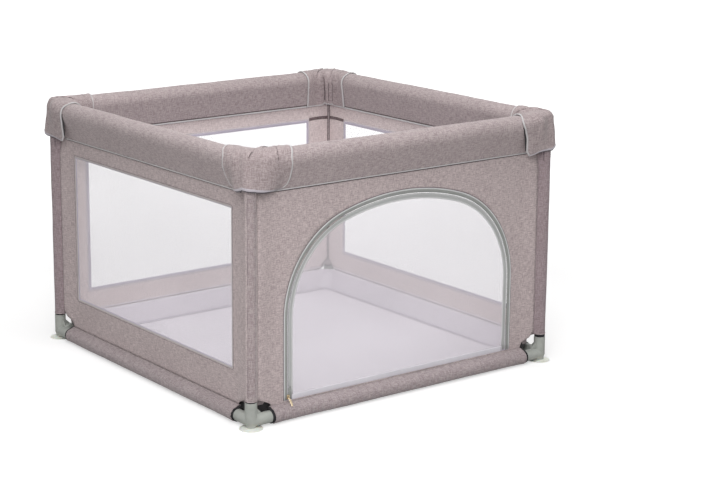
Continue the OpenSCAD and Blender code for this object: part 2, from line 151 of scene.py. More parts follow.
class Finish:
    def __init__(self, name, **shader):
        self.material = bpy.data.materials.new(name)
        self.material.use_nodes = True
        self.tree = self.material.node_tree
        self.tree.nodes.clear()
        self.shader = self.tree.nodes.new("ShaderNodeBsdfPrincipled")
        self.out = self.tree.nodes.new("ShaderNodeOutputMaterial")
        self.tree.links.new(self.shader.outputs[0], self.out.inputs[0])
        for key, value in shader.items():
            self.shader.inputs[key.replace("_", " ")].default_value = value

    def node(self, kind, settings, sockets, out=0):
        made = self.tree.nodes.new(kind)
        for key, value in settings.items():
            if key == "stops":
                ramp = made.color_ramp.elements
                while len(ramp) < len(value):
                    ramp.new(0.5)
                for element, (place, colour) in zip(ramp, value):
                    element.position, element.color = place, colour
            else:
                setattr(made, key, value)
        for key, value in sockets.items():
            if isinstance(value, Wire):
                self.tree.links.new(value.socket, made.inputs[key])
            else:
                made.inputs[key].default_value = value
        return Wire(self, made.outputs[out])

    def feed(self, **sockets):
        for key, wire in sockets.items():
            self.tree.links.new(wire.socket, self.shader.inputs[key.replace("_", " ")])
        return self.material

    def cut(self):  # the piece's own cloth coordinates, in metres
        return self.node("ShaderNodeUVMap", {"uv_map": "cut"}, {})

    def place(self):
        return self.node("ShaderNodeTexCoord", {}, {}, out=3)

    def stretched(self, vector, scale):
        return self.node("ShaderNodeMapping", {}, {0: vector, 3: scale})

    def cloud(self, vector, scale, detail=2.0, rough=0.5):
        sizes = {"Vector": vector, "Scale": scale, "Detail": detail, "Roughness": rough}
        return self.node("ShaderNodeTexNoise", {}, sizes)

    def mixed(self, share, a, b):
        return self.node("ShaderNodeMix", {"data_type": "RGBA"}, {0: share, 6: a, 7: b}, out=2)

    def sine(self, x):
        return self.node("ShaderNodeMath", {"operation": "SINE"}, {0: x})

    def ramp(self, x, stops):
        return self.node("ShaderNodeValToRGB", {"stops": stops}, {0: x})

    def limited(self, x, low, high):
        return self.node("ShaderNodeMapRange", {}, {0: x, 1: low, 2: high, 3: 0.0, 4: 1.0})

    def bump(self, height, strength, distance):
        return self.node("ShaderNodeBump", {}, {"Height": height, "Strength": strength, "Distance": distance})

    def axes(self, vector):
        split = self.tree.nodes.new("ShaderNodeSeparateXYZ")
        self.tree.links.new(vector.socket, split.inputs[0])
        return [Wire(self, s) for s in split.outputs]


threadTurn = 6283  # radians in a metre, for threads 1 mm apart


def linen(name, light, dark, streak=2.4, weave=1.5, rough=0.9):
    f = Finish(name, Sheen_Weight=0.2, Sheen_Roughness=0.5, Specular_IOR_Level=0.2)
    cut = f.cut()
    u, v, _ = f.axes(cut)
    weft = f.cloud(f.stretched(cut, (62, 500, 1)), 1.0, 3.0, 0.6)
    warp = f.cloud(f.stretched(cut, (500, 62, 1)), 1.0, 3.0, 0.6)
    grain = f.cloud(cut, 390.0, 2.0, 0.7)
    patch = f.cloud(f.stretched(cut, (9, 5, 1)), 1.0, 3.0, 0.5)
    fibres = (weft * 0.4 + warp * 0.34 + grain * 0.26 - 0.5) * (1 + streak) + 0.5
    shade = f.limited(fibres + (patch - 0.5) * 0.2, 0.28, 0.72)
    threads = f.sine(u * (threadTurn / weave)) * f.sine(v * (threadTurn / weave))
    return f.feed(Base_Color=f.mixed(shade, dark, light), Roughness=rough + (grain - 0.5) * 0.12,
                  Normal=f.bump(threads * 0.3 + weft * 0.8 + warp * 0.7 + grain * 0.4, 0.6, 0.5 * mm))


def plainCloth(name, light, dark, pitch=1.1, rough=0.88):
    f = Finish(name, Sheen_Weight=0.3, Sheen_Roughness=0.5, Specular_IOR_Level=0.3)
    cut = f.cut()
    u, v, _ = f.axes(cut)
    grain = f.cloud(cut, 420.0, 3.0, 0.7)
    patch = f.cloud(cut, 7.0, 3.0, 0.55)
    threads = f.sine(u * (threadTurn / pitch)) * f.sine(v * (threadTurn / pitch))
    return f.feed(Base_Color=f.mixed(f.limited(grain * 0.5 + patch * 0.5, 0.32, 0.68), dark, light),
                  Roughness=rough + (patch - 0.5) * 0.15,
                  Normal=f.bump(threads * 0.5 + grain, 0.4, 0.25 * mm))


def netting(name, light, dark, see, pitch=2.2):
    f = Finish(name, Sheen_Weight=0.2, Specular_IOR_Level=0.3, Roughness=0.8)
    cut = f.cut()
    u, v, _ = f.axes(cut)
    a = f.sine((u + v) * (threadTurn / pitch))
    b = f.sine((u - v) * (threadTurn / pitch))
    strand = f.limited(a * b, 0.35, -0.35)
    patch = f.cloud(cut, 5.0, 3.0, 0.5)
    return f.feed(Base_Color=f.mixed(patch, dark, light),
                  Alpha=(strand * 0.36 + see) + (patch - 0.5) * 0.06,
                  Normal=f.bump(strand, 0.3, 0.3 * mm))


def moulded(name, light, dark, rough=0.45, grain=900.0, **shader):
    f = Finish(name, **shader)
    place = f.place()
    fine = f.cloud(place, grain, 3.0, 0.6)
    patch = f.cloud(place, 24.0, 4.0, 0.6)
    return f.feed(Base_Color=f.mixed(f.limited(patch, 0.3, 0.7), dark, light),
                  Roughness=rough + (fine - 0.5) * 0.2 + (patch - 0.5) * 0.12,
                  Normal=f.bump(fine, 0.35, 0.12 * mm))


finishes = {
    "wall": linen("wallLinen", tone(208, 194, 193), tone(166, 151, 152)),
    # painted light: the inner side of the walls and the corner linings are lighter than the outside, standing in
    # for the light that falls into the pen
    "wallInner": linen("wallLining", tone(234, 221, 219), tone(202, 187, 186)),
    # painted shade: the pads are darker than the walls to stand in for the shade on their downward-facing sides
    "pad": linen("padLinen", tone(189, 176, 176), tone(149, 135, 136)),
    "cap": linen("capLinen", tone(186, 172, 172), tone(146, 132, 133)),
    "sleeve": linen("sleeveLinen", tone(184, 172, 173), tone(144, 131, 133)),
    # painted shade: a darker post finish for the three far posts, which stand in shade
    "postShade": linen("postShadeLinen", tone(172, 156, 159), tone(137, 122, 126)),
    "post": linen("postLinen", tone(186, 173, 173), tone(148, 134, 136)),
    "piping": plainCloth("pipingCord", tone(206, 204, 204), tone(186, 183, 184), 1.4),
    "capHem": plainCloth("capHemTape", tone(194, 188, 194), tone(170, 164, 171), 1.4),
    "tape": linen("elasticTape", tone(134, 118, 118), tone(98, 84, 86), 5.0, 1.2),
    "doorHem": plainCloth("doorHemCloth", tone(228, 225, 231), tone(209, 206, 213), 1.3),
    "binding": plainCloth("bindingTape", tone(204, 198, 197), tone(180, 174, 174), 1.6),
    "seam": plainCloth("seamThread", tone(122, 108, 114), tone(98, 86, 92), 1.0),
    "thread": plainCloth("stitchThread", tone(178, 168, 170), tone(158, 148, 150), 0.8),
    "crease": plainCloth("creaseShade", tone(104, 92, 93), tone(82, 72, 74), 1.4),
    "black": plainCloth("blackCloth", tone(48, 44, 47), tone(30, 27, 30), 1.2),
    # painted shadow under the cap hems
    "dark": plainCloth("darkTape", tone(96, 88, 94), tone(76, 70, 76), 1.2),
    "lilac": plainCloth("lilacHem", tone(201, 194, 207), tone(181, 174, 188), 1.2),
    "net": netting("windowNet", tone(252, 250, 254), tone(243, 240, 246), 0.17),
    "doorNet": netting("doorNet", tone(252, 249, 254), tone(243, 239, 246), 0.23),
    "floor": plainCloth("floorCloth", tone(222, 216, 224), tone(208, 201, 210), 1.3),
    "mat": plainCloth("matCloth", tone(224, 219, 227), tone(212, 206, 215), 1.3),
    "zipTape": plainCloth("zipTape", tone(216, 217, 217), tone(198, 199, 199), 1.5),
    "zipShade": plainCloth("zipShadeTape", tone(160, 162, 159), tone(138, 140, 137), 1.5),
    "zipInner": plainCloth("zipInnerTape", tone(186, 187, 187), tone(166, 167, 166), 1.5),
    "coil": moulded("zipCoil", tone(146, 149, 145), tone(116, 119, 116), 0.38, 1500.0),
    "fitting": moulded("cornerFitting", tone(176, 179, 173), tone(158, 161, 156), 0.42, 1100.0),
    "cup": moulded("suctionCup", tone(252, 247, 236), tone(242, 235, 221), 0.3, 700.0, Subsurface_Weight=0.2),
    "foam": moulded("blackFoam", tone(44, 43, 46), tone(22, 22, 24), 0.9, 1400.0),
    "tube": moulded("steelTube", tone(205, 206, 208), tone(178, 180, 184), 0.3, 600.0, Metallic=0.9),
    "brass": moulded("brass", tone(228, 212, 184), tone(192, 172, 138), 0.28, 800.0, Metallic=1.0),
}
print("materials made:", len(finishes))


# Mesh kit

def frozen(piece):  # the mesh that a piece's modifiers give
    return bpy.data.meshes.new_from_object(piece.evaluated_get(bpy.context.evaluated_depsgraph_get()))


def placed(name, mesh, body):
    piece = bpy.data.objects.new(name, mesh)
    scene.collection.objects.link(piece)
    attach(piece, body)
    return piece


def newPiece(name, skin, finish, place=Matrix(), body="root", closed=True, thick=0.0):
    points, faces, cuts = skin
    mesh = bpy.data.meshes.new(name)
    mesh.from_pydata([place @ Vector(p) for p in points], [], faces)
    layer = mesh.uv_layers.new(name="cut")
    for face, cut in zip(mesh.polygons, cuts):
        for loop, uv in zip(face.loop_indices, cut):
            layer.data[loop].uv = uv
    mesh.materials.append(finishes[finish])
    work = bmesh.new()
    work.from_mesh(mesh)
    bmesh.ops.remove_doubles(work, verts=work.verts, dist=0.02 * mm)
    bmesh.ops.dissolve_degenerate(work, edges=work.edges, dist=0.001 * mm)
    if closed or thick:
        bmesh.ops.recalc_face_normals(work, faces=work.faces)
    work.to_mesh(mesh)
    work.free()
    mesh.shade_smooth()
    piece = placed(name, mesh, body)
    if thick:
        shell = piece.modifiers.new("thickness", "SOLIDIFY")
        shell.thickness, shell.offset = thick, 0
    return piece


# Fills a padded piece: an even copy of its mesh swells as cloth under pressure,
# and no point moves further than limit
def filled(piece, voxel, pressure, limit):
    work = bpy.data.objects.new(piece.name + "Filling", piece.data.copy())
    scene.collection.objects.link(work)
    even = work.modifiers.new("even", "REMESH")
    even.mode, even.voxel_size = "VOXEL", voxel
    work.data = frozen(work)
    work.modifiers.clear()
    start = [vertex.co.copy() for vertex in work.data.vertices]
    cloth = work.modifiers.new("filling", "CLOTH")
    cloth.settings.use_pressure, cloth.settings.uniform_pressure_force = True, pressure
    cloth.settings.effector_weights.gravity = 0
    for step in range(1, 21):
        scene.frame_set(step)
    swollen = frozen(work)
    for vertex, rest in zip(swollen.vertices, start):
        move = vertex.co - rest
        vertex.co = rest + move * min(1, limit / max(move.length, 1e-9))
    layer = swollen.uv_layers.new(name="cut")
    for loop in swollen.loops:
        layer.data[loop.index].uv = swollen.vertices[loop.vertex_index].co.xy
    swollen.shade_smooth()
    piece.data = swollen
    bpy.data.objects.remove(work)
    scene.frame_set(1)
    smoother = piece.modifiers.new("smooth", "SUBSURF")
    smoother.levels = smoother.render_levels = 1


# Joins rows of points into a skin; across closes each row on itself, along closes the last row to the first
def loft(rows, across=False, along=False, ends=False, cutOf=None):
    n, m = len(rows), len(rows[0])
    points = [Vector(p) for row in rows for p in row]
    faces, cuts = [], []
    if not cutOf:
        us, vs = [0.0], [0.0]
        some = range(0, n, max(1, n // 4))
        for i in range(n):
            us.append(us[-1] + sum(gap(rows[(i + 1) % n][j], rows[i][j]) for j in range(m)) / m)
        for j in range(m):
            vs.append(vs[-1] + sum(gap(rows[i][(j + 1) % m], rows[i][j]) for i in some) / len(some))
    for i in range(n if along else n - 1):
        for j in range(m if across else m - 1):
            i2, j2 = (i + 1) % n, (j + 1) % m
            faces.append((i * m + j, i * m + j2, i2 * m + j2, i2 * m + j))
            if cutOf:
                cuts.append([cutOf(points[k]) for k in faces[-1]])
            else:
                cuts.append([(us[i], vs[j]), (us[i], vs[j + 1]), (us[i + 1], vs[j + 1]), (us[i + 1], vs[j])])
    if ends:
        for row in (list(range(m))[::-1], [(n - 1) * m + j for j in range(m)]):
            faces.append(row)
            cuts.append([(points[k].y, points[k].z) for k in row])
    return points, faces, cuts


def merged(*skins):
    points, faces, cuts = [], [], []
    for p, f, c in skins:
        shift = len(points)
        points += list(p)
        faces += [tuple(k + shift for k in face) for face in f]
        cuts += c
    return points, faces, cuts


def twoTone(piece, finish, chosen):  # a second finish where chosen says so of a face's middle
    piece.data.materials.append(finishes[finish])
    for face in piece.data.polygons:
        if chosen(face.center):
            face.material_index = 1


# Gives a thickened sheet another finish on the side that faces away from outwards
def lined(piece, finish, outwards):
    piece.data.materials.append(finishes[finish])
    piece.modifiers["thickness"].material_offset = len(piece.data.materials) // 2
    done = piece.evaluated_get(bpy.context.evaluated_depsgraph_get()).data
    shows = 0.0
    for face in done.polygons:
        facing = face.normal.dot(outwards)
        if face.material_index == 0 and abs(facing) > 0.5:
            shows += math.copysign(face.area, facing)
    if shows < 0:
        piece.data.flip_normals()


def moved(skin, place):
    points, faces, cuts = skin
    return [place @ Vector(p) for p in points], faces, cuts


# An outline (side, face) carried along a path whose plane has the normal face
def carried(path, outline, face, closed=False):
    face = Vector(face)
    rows = []
    n = len(path)
    for i, p in enumerate(path):
        before = Vector(path[i - 1]) if i or closed else Vector(p)
        after = Vector(path[(i + 1) % n]) if i < n - 1 or closed else Vector(p)
        a, b = Vector(p) - before, after - Vector(p)
        a = a.normalized() if a.length else b.normalized()
        b = b.normalized() if b.length else a
        tangent = (a + b).normalized()
        side = tangent.cross(face).normalized() / max(0.5, tangent.dot(a))
        rows.append([Vector(p) + side * s + face * f for s, f in outline])
    return loft(rows, across=True, along=closed, ends=not closed)


def pillow(w, t, n=10):  # a flat outline with round sides
    points = []
    for a in around(n):
        x, y = math.cos(a), math.sin(a)
        points.append((w / 2 * math.copysign(abs(x) ** 0.6, x), t / 2 * math.copysign(abs(y) ** 0.8, y)))
    return points


def band(path, wide, thick, n=10, face=(0, 1, 0), closed=False):  # a flat cord along a path, sizes in mm
    return carried(path, pillow(wide * mm, thick * mm, n), face, closed)


def roundedBox(x0, z0, x1, z1, r, n=5):  # closed, anticlockwise from the lower left
    points = []
    corners = ((x1 - r, z0 + r, -90), (x1 - r, z1 - r, 0), (x0 + r, z1 - r, 90), (x0 + r, z0 + r, 180))
    for x, z, start in corners:
        for k in range(n + 1):
            turn = math.radians(start + 90 * k / n)
            points.append((x + r * math.cos(turn), z + r * math.sin(turn)))
    return points


def split(points, step, closed=True):  # adds points so that no gap is longer than step
    made = []
    n = len(points)
    for i in range(n if closed else n - 1):
        a, b = Vector(points[i]), Vector(points[(i + 1) % n])
        count = max(1, math.ceil((b - a).length / step))
        made += [tuple(a + (b - a) * k / count) for k in range(count)]
    return made if closed else made + [tuple(points[-1])]


def area(points):
    return abs(sum(a[0] * b[1] - b[0] * a[1] for a, b in zip(points, points[1:] + points[:1]))) / 2


# The skin over a rail: from the outer foot up, over the back and down to the inner foot
def overRail(radius, footOut, footIn, drop, sidePoints, roundPoints):
    def tangentAt(foot, sign):
        return math.atan2(-drop, foot) + sign * math.acos(min(1, radius / math.hypot(foot, drop)))
    a, b = tangentAt(footOut, -1), tangentAt(footIn, 1)
    a %= 2 * math.pi

    def onRail(turn):
        return Vector((radius * math.cos(turn), radius * math.sin(turn)))
    line = [Vector((footOut, -drop)).lerp(onRail(a), k / sidePoints) for k in range(sidePoints)]
    line += [onRail(a + (b - a) * k / roundPoints) for k in range(roundPoints + 1)]
    line += [onRail(b).lerp(Vector((footIn, -drop)), k / sidePoints) for k in range(1, sidePoints + 1)]
    return line


# Beads, stitches and coils along paths

def wired(tree, kind, sockets, settings=()):  # a node with the values or links of its sockets
    made = tree.nodes.new(kind)
    for key, value in settings:
        setattr(made, key, value)
    for key, value in sockets.items():
        if hasattr(value, "is_output"):
            tree.links.new(value, made.inputs[key])
        else:
            made.inputs[key].default_value = value
    return made


def beadTree():
    tree = bpy.data.node_groups.new("beadsAlongPath", "GeometryNodeTree")
    face = tree.interface
    face.new_socket("Geometry", in_out="INPUT", socket_type="NodeSocketGeometry")
    face.new_socket("Geometry", in_out="OUTPUT", socket_type="NodeSocketGeometry")
    sizes = {"Spacing": 4 * mm, "Long": 3 * mm, "Width": 0.7 * mm, "Thickness": 0.6 * mm}
    for key, value in sizes.items():
        face.new_socket(key, in_out="INPUT", socket_type="NodeSocketFloat").default_value = value
    face.new_socket("Finish", in_out="INPUT", socket_type="NodeSocketMaterial")
    start, end = tree.nodes.new("NodeGroupInput"), tree.nodes.new("NodeGroupOutput")

    given = start.outputs
    toCurve = wired(tree, "GeometryNodeMeshToCurve", {"Mesh": given["Geometry"]})
    spots = wired(tree, "GeometryNodeCurveToPoints", {"Curve": toCurve.outputs[0], "Length": given["Spacing"]},
                  [("mode", "LENGTH")])
    bead = wired(tree, "GeometryNodeMeshUVSphere", {"Segments": 6, "Rings": 4, "Radius": 0.5})
    size = wired(tree, "ShaderNodeCombineXYZ", {0: given["Width"], 1: given["Thickness"], 2: given["Long"]})
    place = wired(tree, "GeometryNodeInstanceOnPoints", {
        "Points": spots.outputs["Points"], "Instance": bead.outputs["Mesh"],
        "Rotation": spots.outputs["Rotation"], "Scale": size.outputs[0]})
    real = wired(tree, "GeometryNodeRealizeInstances", {"Geometry": place.outputs[0]})
    soft = wired(tree, "GeometryNodeSetShadeSmooth", {"Geometry": real.outputs[0]})
    paint = wired(tree, "GeometryNodeSetMaterial", {"Geometry": soft.outputs[0], "Material": given["Finish"]})
    tree.links.new(paint.outputs[0], end.inputs[0])
    return tree


beadsAlongPath = beadTree()


def beads(name, paths, finish, slot, body="root", **sizes):
    points, edges = [], []
    for path in paths:
        first = len(points)
        points += [Vector(p) for p in path]
        edges += [(k, k + 1) for k in range(first, len(points) - 1)]
    base = bpy.data.meshes.new(name + "Path")
    base.from_pydata(points, edges, [])
    guide = bpy.data.objects.new(name + "Path", base)
    scene.collection.objects.link(guide)
    run = guide.modifiers.new("beads", "NODES")
    run.node_group = beadsAlongPath
    for item in beadsAlongPath.interface.items_tree:
        if item.in_out == "INPUT" and item.name in sizes:
            run[item.identifier] = sizes[item.name]
        elif item.in_out == "INPUT" and item.name == "Finish":
            run[item.identifier] = finishes[finish]
    made = frozen(guide)
    made.name = name
    while made.uv_layers:
        made.uv_layers.remove(made.uv_layers[0])
    layer = made.uv_layers.new(name="cut")
    for loop in made.loops:
        p = made.vertices[loop.vertex_index].co
        layer.data[loop.index].uv = (p.x + p.y, p.z)
    bpy.data.objects.remove(guide)
    return placed(name, made, body)


# Fittings, cups and tubes keep their frame shape
nodeFinishes = {"corner_foot": "fitting", "corner_head": "fitting", "suction_cups": "cup", "_tube_": "tube"}
for name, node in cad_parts.items():
    for part, finish in nodeFinishes.items():
        if part in name:
            node.data.materials.clear()
            node.data.materials.append(finishes[finish])


# Foam
foamSet = {"bore": 12.9 * mm, "mouth": 15.9 * mm, "lip": 4.4 * mm, "ease": 0.2 * mm, "end": half - 56.4 * mm,
           "chamfer": 0.6 * mm, "flareLong": 3.6 * mm, "flareEnd": 6 * mm, "lowFlare": 1.2 * mm, "round": 48}


def foamTube(outline, z, flare=0.0):  # outline holds the section's points round the rail, outwards negative
    f = foamSet
    end, mouth = f["end"], f["mouth"]
    rows = []
    for x, y in outline:
        far = math.hypot(x, y)
        wide = far + flare
        tip = [(0, mouth), (0, wide - f["chamfer"]), (f["chamfer"], wide), (f["flareLong"], wide)]
        line = [(-end + along, r) for along, r in tip]
        line += [((end - f["flareEnd"]) * (k / 12 - 1), far) for k in range(25)]
        line += [(end - along, r) for along, r in reversed(tip)]
        lip = end - f["lip"]
        line += [(lip, mouth), (lip, f["bore"]), (-lip, f["bore"]), (-lip, mouth)]
        rows.append([(along, -half + x * r / far, z + y * r / far) for along, r in line])
    return loft(rows, across=True, along=True)


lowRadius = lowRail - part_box("bottom_foam")[0].z
lowSize = lowRadius / sleeveRadius
lowDrop = (wallLow.z - 0.3 * mm - lowRail) * lowSize
lowLine = overRail(lowRadius - foamSet["ease"], (wallIn - 1.6 * mm) * lowSize, (wallIn + 1.6 * mm) * lowSize,
                   lowDrop - foamSet["ease"], 5, 40)
lowTube = foamTube([(p.x, -p.y) for p in lowLine], lowRail, foamSet["lowFlare"])
lowFoam = newPiece("bottomFoamTubes", merged(*[moved(lowTube, turned(i)) for i in range(4)]), "foam")
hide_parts("bottom_foam")
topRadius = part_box("top_foam_front")[1].z - topRail - foamSet["ease"]
ring = [(topRadius * math.cos(a), topRadius * math.sin(a)) for a in around(foamSet["round"])]
for i, side in enumerate(sideNames):
    tube = newPiece("topFoam" + titled(side), foamTube(ring, topRail), "foam", turned(i))
    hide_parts("top_foam_" + side)
print("foam made")


# Bottom sleeves
sleeveEnd = sleeveHigh.x - 5.2 * mm
sleeveSet = {"thick": 1.0 * mm, "gather": 0.8 * mm, "slack": 1.0 * mm, "foot": 0.9 * mm, "along": 120,
             "hem": (0, 1.2 * mm, 2.6 * mm, 5 * mm), "hemEnd": 8 * mm}


def sleeveRow(x, seed):
    s = sleeveSet
    fromEnd = sleeveEnd - abs(x)
    line = overRail(sleeveRadius - s["thick"] / 2 - 0.3 * mm, wallIn - s["foot"], wallIn + s["foot"],
                    wallLow.z - 0.4 * mm - lowRail, 6, 40)
    row = []
    for k, q in enumerate(line):
        hold = abs(math.sin(math.pi * k / (len(line) - 1))) ** 0.6
        puff = s["slack"] * ripple(x * 8, k * 0.12, seed) + 0.35 * mm * ripple(x * 40, k * 0.3, seed + 5)
        wave = math.sin(0.9 * k + seed + 3 * math.sin(seed + 0.2 * k))
        puff += s["gather"] * math.exp(-fromEnd / 0.02) * wave
        puff += 0.5 * mm * math.exp(-fromEnd / (9 * mm)) - 0.3 * mm
        out = q.normalized()
        row.append((x, -half + q.x + out.x * puff * hold, lowRail - q.y - out.y * puff * hold))
    return row


stations = [-sleeveEnd + d for d in sleeveSet["hem"]]
count, inner = sleeveSet["along"], sleeveEnd - sleeveSet["hemEnd"]
stations += [inner * (2 * k / count - 1) for k in range(count + 1)]
stations += [sleeveEnd - d for d in reversed(sleeveSet["hem"])]
for i, side in enumerate(sideNames):
    skin = loft([sleeveRow(x, 5.3 * i) for x in stations])
    sleeve = newPiece("bottomSleeve" + titled(side), skin, "sleeve", turned(i),
                      thick=sleeveSet["thick"])
    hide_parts("bottom_sleeve_" + side)
    lengthOf(sleeveRow(0, 0))
print("bottom sleeves made")


def seamLift(z):  # how far the walls' cloth is drawn out towards the posts
    return 8 * mm * smooth(590 * mm, 540 * mm, z)


# Post sleeves, wrapped round the posts and sewn to the walls at two seams. For each corner, in degrees round
# the post from its outer corner: the strip that takes the post finish (at the three far posts a darker finish,
# painted shade), and the two dark seam lines with their widths in mm (the wide ones paint the valley's shade)
postSet = {"thick": 1.4 * mm, "radius": 14.2 * mm, "seam": 22 * mm, "rows": 90, "fold": 0.7 * mm,
           "strip": ((-21, 72), (-152, 60), (-60, 60), (-60, 152)),
           "lines": ((-21, 72, 1.8), (-103, 60, 3.6), (-60, 60, 1.5), (-60, 101, 4.2)),
           "gap": (3.2 * mm, 8.4 * mm, 5 * mm, 4 * mm), "cloth": ("post", "postShade", "postShade", "postShade"),
           "stitches": (575 * mm, 580 * mm), "stitchSize": {"Spacing": 3.4 * mm, "Long": 2.6 * mm,
                                                             "Width": 0.8 * mm, "Thickness": 0.6 * mm}}


def between(a, b, n, first, last):  # points first to last of n steps from a to b
    a, b = Vector(a), Vector(b)
    return [tuple(a + (b - a) * k / n) for k in range(first, last + 1)]


def postOutline(wall):
    r = postSet["radius"]
    seam, otherSeam = Vector((postSet["seam"], wall)), Vector((wall, postSet["seam"]))
    outer = math.atan2(seam.y, seam.x) - math.acos(r / seam.length)  # where the cloth meets the post
    sweep = (math.pi / 2 - 2 * outer) % (2 * math.pi) - 2 * math.pi
    onPost = [(r * math.cos(outer + sweep * k / 48), r * math.sin(outer + sweep * k / 48)) for k in range(49)]
    inner = (r * 0.86, r * 0.86)
    loop = between(seam, onPost[0], 4, 0, 3) + onPost + between(onPost[-1], otherSeam, 4, 1, 4)
    return loop + between(otherSeam, inner, 5, 1, 5) + between(inner, seam, 5, 1, 4)


def fromDiagonal(p):  # degrees round the post from its outer corner
    return math.degrees(math.remainder(math.atan2(p[1], p[0]) + math.pi * 3 / 4, 2 * math.pi))


def postSkin(i, low, high):
    start = low.z + postSet["gap"][i]
    rows = []
    for k in range(postSet["rows"] + 1):
        z = start + (high.z - start) * k / postSet["rows"]
        swell = 1 + 0.05 * math.exp(-((z - low.z) / 0.010) ** 2) + 0.03 * math.exp(-((high.z - z) / 0.03) ** 2)
        row = []
        for x, y in postOutline(wallIn - seamLift(z)):
            side = min(abs(fromDiagonal((x, y)) - edge) for edge in postSet["lines"][i][:2])
            dent = -0.9 * mm * math.exp(-(side / 4.5) ** 2)
            dent += postSet["fold"] * ripple(z * 11, x * 60, y * 60 + i)
            dent += 0.3 * mm * ripple(z * 45, x * 90, i * 3.0)
            grown = swell + dent / math.hypot(x, y)
            row.append((x * grown, y * grown, z))
        rows.append(row)
    return loft(rows, across=True)


for i, corner in enumerate(cornerNames):
    title, place, bare = titled(corner), atCorner(i), postSet["gap"][i]
    low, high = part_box("post_sleeve_" + corner)
    outline = postOutline(wallIn - seamLift(low.z))
    first, last = postSet["strip"][i]
    wrap = newPiece("postSleeve" + title, postSkin(i, low, high), "wall", place,
                    thick=postSet["thick"])
    back = place.inverted()
    # the strip gets the post finish; at the far posts that finish is painted shade
    twoTone(wrap, postSet["cloth"][i], lambda p: first < fromDiagonal(back @ p) < last)
    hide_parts("post_sleeve_" + corner)
    lengthOf(outline + outline[:1])

    seams = []
    for side in postSet["lines"][i][:2]:
        turn = math.radians(-135 + side)
        r = postSet["radius"] - 0.25 * mm
        line = [(r * math.cos(turn) + 0.3 * mm * ripple(k * 0.5, side, i), r * math.sin(turn),
                 low.z + 2 * mm + (high.z - low.z - 3 * mm) * k / 40) for k in range(41)]
        seams.append(band(line, postSet["lines"][i][2], 1.0, 8, (math.cos(turn), math.sin(turn), 0)))
    # dark seam lines; the wide ones at the far posts also paint the shade of the valley between post and wall
    newPiece("postSeam" + title, merged(*seams), "seam", place)
    rim = [(x * 1.05, y * 1.05, low.z + bare + 1 * mm) for x, y in outline if abs(fromDiagonal((x, y))) < 122]
    newPiece("postHem" + title, band(rim, 2.2, 2.6, 8, (0, 0, 1)), "wall", place)
    r = 13.8 * mm
    ring = [(r * math.cos(a), r * math.sin(a), low.z + bare / 2 + 0.6 * mm) for a in around(40)]
    foamEdge = carried(ring, pillow(1.8 * mm, bare + 1 * mm, 8), (0, 0, 1), True)
    newPiece("postFoamEdge" + title, foamEdge, "foam", place)
    r = postSet["radius"] + 0.75 * mm
    turns = [math.radians(-135 + first + (last - first) * k / 24) for k in range(25)]
    rounds = []
    for z in postSet["stitches"]:
        rounds.append([tuple(place @ Vector((r * math.cos(t), r * math.sin(t), z))) for t in turns])
    beads("postStitches" + title, rounds, "thread", "sleeve_fabric", **postSet["stitchSize"])


# The walls' inner cloth meets over each post, with a cord down the join and an elastic tape across it
liningSet = {"wide": 84 * mm, "plane": wallIn + 1.6 * mm, "top": 594 * mm, "low": 92 * mm, "slope": 22 * mm,
             "tape": 549 * mm, "tapeStart": 14 * mm, "tapeLong": 74 * mm}


def liningSkin(i):
    c = liningSet
    arm = [c["wide"] - (c["wide"] - c["plane"] - 0.5 * mm) * k / 24 for k in range(25)]
    line = [(d, c["plane"]) for d in arm] + [(c["plane"], d) for d in arm[::-1]]
    rows = []
    for k in range(61):
        row = []
        for x, y in line:
            far = max(x, y)
            low = c["low"] - c["slope"] * smooth(15 * mm, 45 * mm, far)
            hold = smooth(14 * mm, 30 * mm, far) * smooth(c["wide"], 70 * mm, far)
            slack = 0.5 * mm * ripple(k * 0.12, far * 30, i) * hold
            z = low + (c["top"] - low) * k / 60
            row.append((x, y + slack, z) if x > y else (x + slack, y, z))
        rows.append(row)
    return loft(rows)


def elasticTape():
    c = liningSet
    tapes = []
    for k in range(2):
        path = []
        for share in (n / 20 for n in range(21)):
            spot = (c["tapeStart"] + c["tapeLong"] * share, c["plane"] + 1.1 * mm)
            path.append((*(spot[::-1] if k else spot), c["tape"] + 1.6 * mm * math.sin(math.pi * share)))
        tapes.append(band(path, 9.4, 1.4, 8, (1, 0, 0) if k else (0, 1, 0)))
    return merged(*tapes)


for i, corner in enumerate(cornerNames):
    title, place = titled(corner), atCorner(i)
    # the corner linings take the lighter inner finish, which is painted light
    newPiece("cornerLining" + title, liningSkin(i), "wallInner", place, thick=0.8 * mm)
    near = liningSet["plane"] + 2.0 * mm
    foot = liningSet["low"] + 2 * mm
    heights = [foot + (liningSet["top"] - foot) * k / 50 for k in range(51)]
    cord = band([(near + 0.2 * mm * ripple(z * 30, i), near, z) for z in heights], 4.2, 4.6, 12, (1, 1, 0))
    newPiece("cornerCord" + title, cord, "post", place)
    grooves = []
    # dark beads in the grooves either side of the cord: painted shade
    for a, b, face in ((2.6 * mm, -1.4 * mm, (0, 1, 0)), (-1.4 * mm, 2.6 * mm, (1, 0, 0))):
        grooves.append(band([(near + a, near + b, z) for z in heights], 2.4, 1.0, 8, face))
    newPiece("cornerSeam" + title, merged(*grooves), "crease", place)
    newPiece("cornerTape" + title, elasticTape(), "tape", place)
print("post sleeves and inner corners made")


